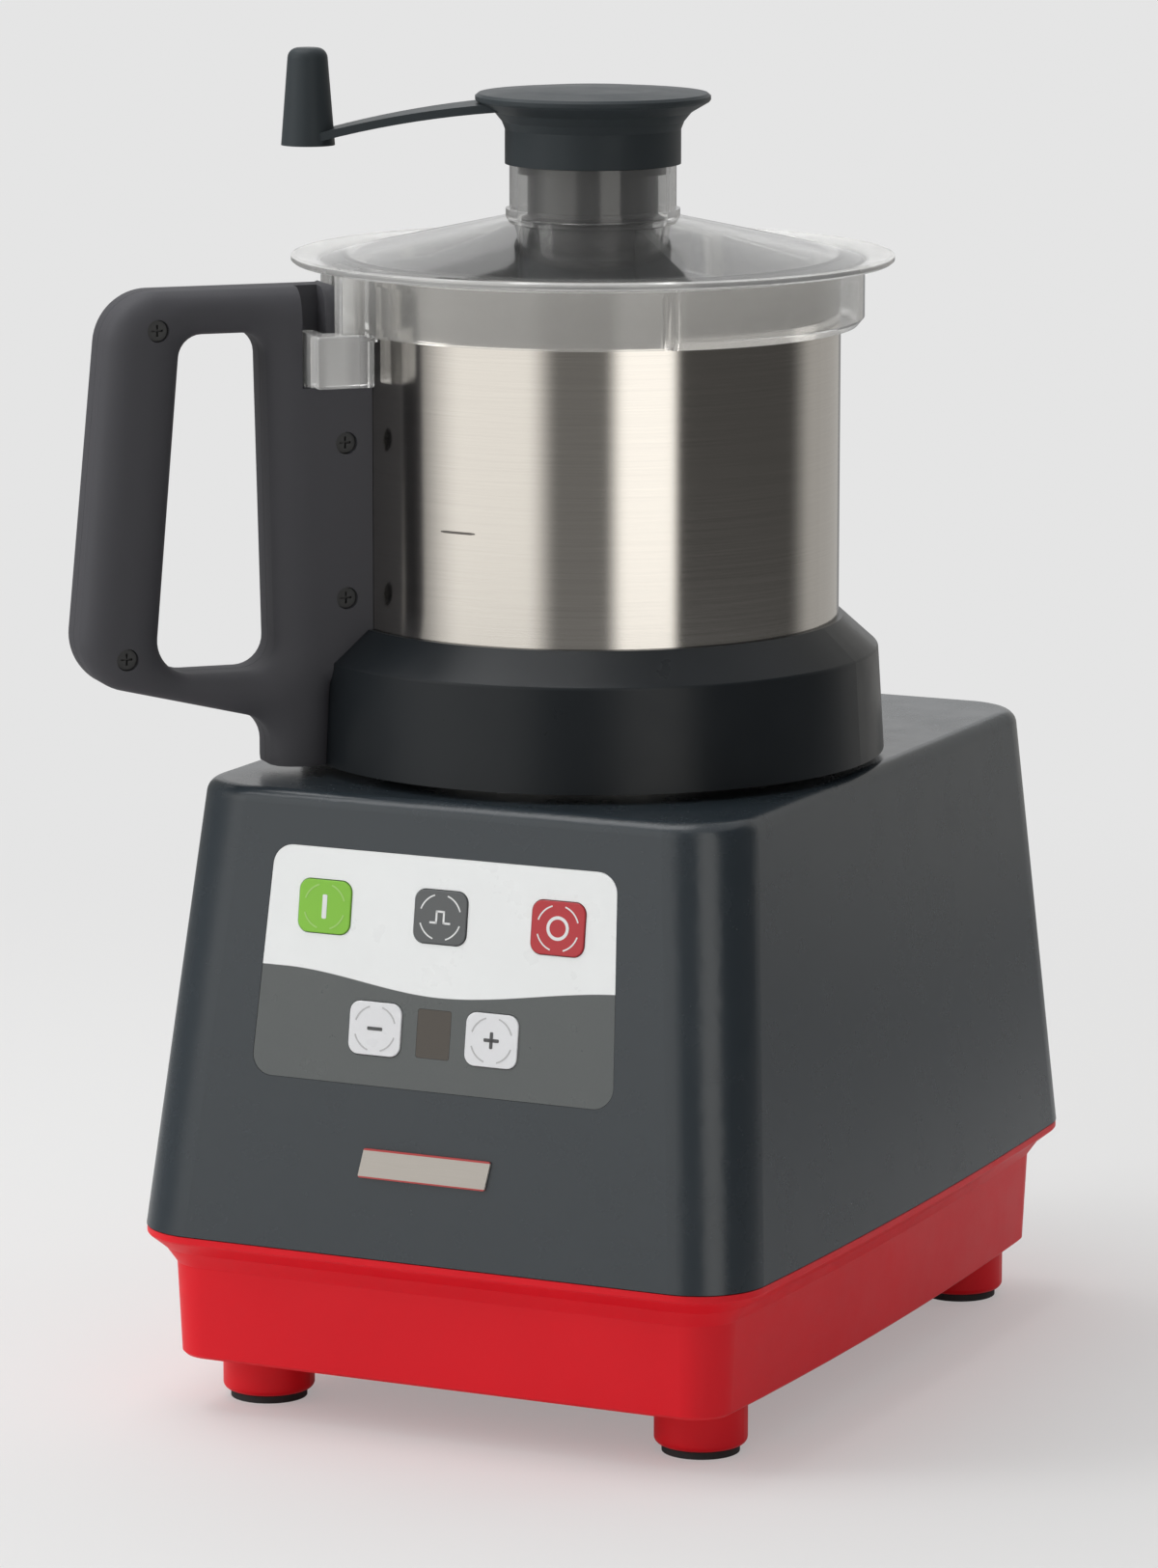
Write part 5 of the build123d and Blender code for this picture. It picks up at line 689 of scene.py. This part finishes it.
def circle(r, count=48):
    return [(r * math.cos(math.tau * i / count), r * math.sin(math.tau * i / count)) for i in range(count)]


def upright_cut(r, low, high, s=0.0, o=0.0, count=48):
    return [[handle_point(s + x, o + y, z) for x, y in circle(r, count)] for z in (low, high)]


def recess_cut(s, z):
    return [[handle_point(s + x, o, z + y) for x, y in circle(RECESS_RADIUS)] for o in RECESS_DEPTH]


def box_cut(s0, s1, o0, o1, low, high):
    corners = ((s0, o0), (s1, o0), (s1, o1), (s0, o1))
    return [[handle_point(s, o, z) for s, o in corners] for z in (low, high)]


def collar_cut():
    return [[handle_point(x, y, z) for x, y in circle(r, 256)] for r, z in COLLAR_PROFILE]


def carved(mesh, cuts):
    """The mesh with closed shapes cut out of it."""
    obj = bpy.data.objects.new("carved", mesh)
    bpy.context.scene.collection.objects.link(obj)
    tools = []
    for rings in cuts:
        tool = bpy.data.objects.new("cut", cutter_mesh("cut", rings))
        bpy.context.scene.collection.objects.link(tool)
        modifier = obj.modifiers.new("cut", "BOOLEAN")
        modifier.operation = "DIFFERENCE"
        modifier.solver = "EXACT"
        modifier.object = tool
        tools.append(tool)
    result = bpy.data.meshes.new_from_object(obj.evaluated_get(bpy.context.evaluated_depsgraph_get()))
    for made in tools + [obj]:
        bpy.data.objects.remove(made)
    return result


def make_handle():
    skin = bpy.data.materials["handle_plastic"]
    shared = [collar_cut(), upright_cut(*BOWL_CUT, count=256), box_cut(*BRACKET_SLOT), box_cut(*BRACKET_PAD)]
    front = [recess_cut(s, z) for s, z in RECESS_PLACES]
    front += [upright_cut(*ROD_BORE, *ROD_PLACE), upright_cut(*SPRING_BORE, *ROD_PLACE)]
    front.append(box_cut(*LATCH_NOTCH))
    for name, side, cuts in (("front", 1, shared + front), ("rear", -1, shared)):
        mesh = carved(handle_cheek(f"handle_{name}_shell", side), cuts)
        mesh.name = f"handle_{name}_shell"
        mesh.polygons.foreach_set("use_smooth", [True] * len(mesh.polygons))
        mesh.set_sharp_from_angle(angle=math.radians(32))
        mesh.materials.clear()
        piece(mesh.name, mesh, skin, "bowl", (f"handle_{name}_half",))


# ---------------------------------------------------------------- marks on the keys
def key_face(name):
    """The middle of a key's outer face, from its CAD mesh."""
    points = [v.co for v in NODES[name].data.vertices]
    across = [p.x for p in points]
    up = [p.dot(PANEL_UP) for p in points]
    out = max(p.dot(PANEL_NORMAL) for p in points)
    middle_up = (min(up) + max(up)) / 2
    middle = Vector(((min(across) + max(across)) / 2, 0, 0))
    return middle + PANEL_UP * middle_up + PANEL_NORMAL * out


def band(inner, outer, start, end, steps=16):
    """A flat arc band as an outline, anticlockwise."""
    angles = [start + (end - start) * i / steps for i in range(steps + 1)]
    outline = [(outer * math.cos(a), outer * math.sin(a)) for a in angles]
    return outline + [(inner * math.cos(a), inner * math.sin(a)) for a in reversed(angles)]


def bar(width, height, x=0.0, y=0.0, round_share=0.3, steps=4):
    """A rounded bar as an outline, anticlockwise."""
    r = min(width, height) * round_share
    outline = []
    for cx, cy, turn in ((1, 1, 0), (-1, 1, 90), (-1, -1, 180), (1, -1, 270)):
        for i in range(steps + 1):
            a = math.radians(turn + 90 * i / steps)
            outline.append((x + cx * (width / 2 - r) + r * math.cos(a),
                            y + cy * (height / 2 - r) + r * math.sin(a)))
    return outline


def raised(name, outlines, at, low=-MARK_SINK, high=MARK_HEIGHT):
    """Flat outlines as thin raised prisms on the sloping front, about a point on it."""
    mesh = bpy.data.meshes.new(name)
    built = bmesh.new()
    for outline in outlines:
        rings = [[built.verts.new(at + Vector((x, 0, 0)) + PANEL_UP * y + PANEL_NORMAL * lift)
                  for x, y in outline] for lift in (low, high)]
        built.faces.new(rings[1])
        built.faces.new(list(reversed(rings[0])))
        count = len(outline)
        for i in range(count):
            j = (i + 1) % count
            built.faces.new((rings[0][i], rings[0][j], rings[1][j], rings[1][i]))
    bmesh.ops.recalc_face_normals(built, faces=built.faces)
    built.to_mesh(mesh)
    built.free()
    return mesh


def corner_arcs():
    """Four thin arcs, one in each corner of a key."""
    arcs = []
    for i in range(4):
        middle = math.radians(45 + 90 * i)
        arcs.append(band(ARC_RADIUS - ARC_WIDTH, ARC_RADIUS, middle - ARC_SPAN, middle + ARC_SPAN))
    return arcs


def pulse_outline(line=0.75 * MM):
    """A square pulse drawn as bars: low, high, low."""
    high, step = 4.2 * MM, 3.0 * MM
    flat = 2.4 * MM
    top = high / 2
    return [bar(flat + line, line, -step / 2 - flat / 2, -top),
            bar(flat + line, line, step / 2 + flat / 2, -top),
            bar(step + line, line, 0, top),
            bar(line, high + line, -step / 2, 0),
            bar(line, high + line, step / 2, 0)]


def make_level_mark():
    """A short fill line pressed into the bowl's wall, as a thin dark bar bent round it."""
    middle, half = math.radians(LEVEL_AZIMUTH), LEVEL_LENGTH / 2 / BOWL_RADIUS
    rings = []
    for i in range(LEVEL_STEPS + 1):
        angle = middle - half + 2 * half * i / LEVEL_STEPS
        out = Vector((math.cos(angle), math.sin(angle), 0))
        thin = 1.0 if 0 < i < LEVEL_STEPS else 0.5
        ring = []
        for r, rise in ((-LEVEL_DEPTH, -thin), (LEVEL_DEPTH, -thin),
                        (LEVEL_DEPTH, thin), (-LEVEL_DEPTH, thin)):
            ring.append(out * (BOWL_RADIUS + r) + Vector((0, 0, LEVEL_Z + rise * LEVEL_WIDTH / 2)))
        rings.append(ring)
    ink = metal("level_line", (0.16, 0.15, 0.14), 0.45)
    piece("level_line", cutter_mesh("level_line", rings), ink, "bowl")


def make_key_marks():
    white_ink = plastic("white_ink", (0.80, 0.81, 0.81), 0.35, variation=0.02)
    dark_ink = plastic("dark_ink", (0.070, 0.072, 0.075), 0.4, variation=0.02)
    pale_green = plastic("pale_green_ink", (0.36, 0.62, 0.16), 0.35, variation=0.02)
    pale_grey = plastic("pale_grey_ink", (0.50, 0.50, 0.51), 0.4, variation=0.02)
    ring = [band(3.3 * MM, 4.5 * MM, 0, math.pi, 20), band(3.3 * MM, 4.5 * MM, math.pi, 2 * math.pi, 20)]
    marks = {
        "key_start": ((corner_arcs(), pale_green), ([bar(1.9 * MM, 9.0 * MM)], white_ink)),
        "key_pulse": ((corner_arcs(), white_ink), (pulse_outline(), white_ink)),
        "key_stop": ((corner_arcs(), white_ink), (ring, white_ink)),
        "key_minus": ((corner_arcs(), pale_grey), ([bar(6.2 * MM, 1.3 * MM)], dark_ink)),
        "key_plus": ((corner_arcs(), pale_grey),
                     ([bar(6.2 * MM, 1.3 * MM), bar(1.3 * MM, 6.2 * MM)], dark_ink)),
    }
    for name, parts in marks.items():
        at = key_face(name)
        for part_name, (outlines, ink) in zip(("arcs", "sign"), parts):
            for number, outline in enumerate(outlines):
                mark_name = f"{name}_{part_name}_{number + 1}"
                piece(mark_name, raised(mark_name, [outline], at), ink, name)


make_camera()
make_world()
make_floor()
make_lights()
make_reflection_wall()
dress_nodes()
make_handle()
make_level_mark()
make_key_marks()

bpy.context.scene.view_settings.view_transform = "Standard"
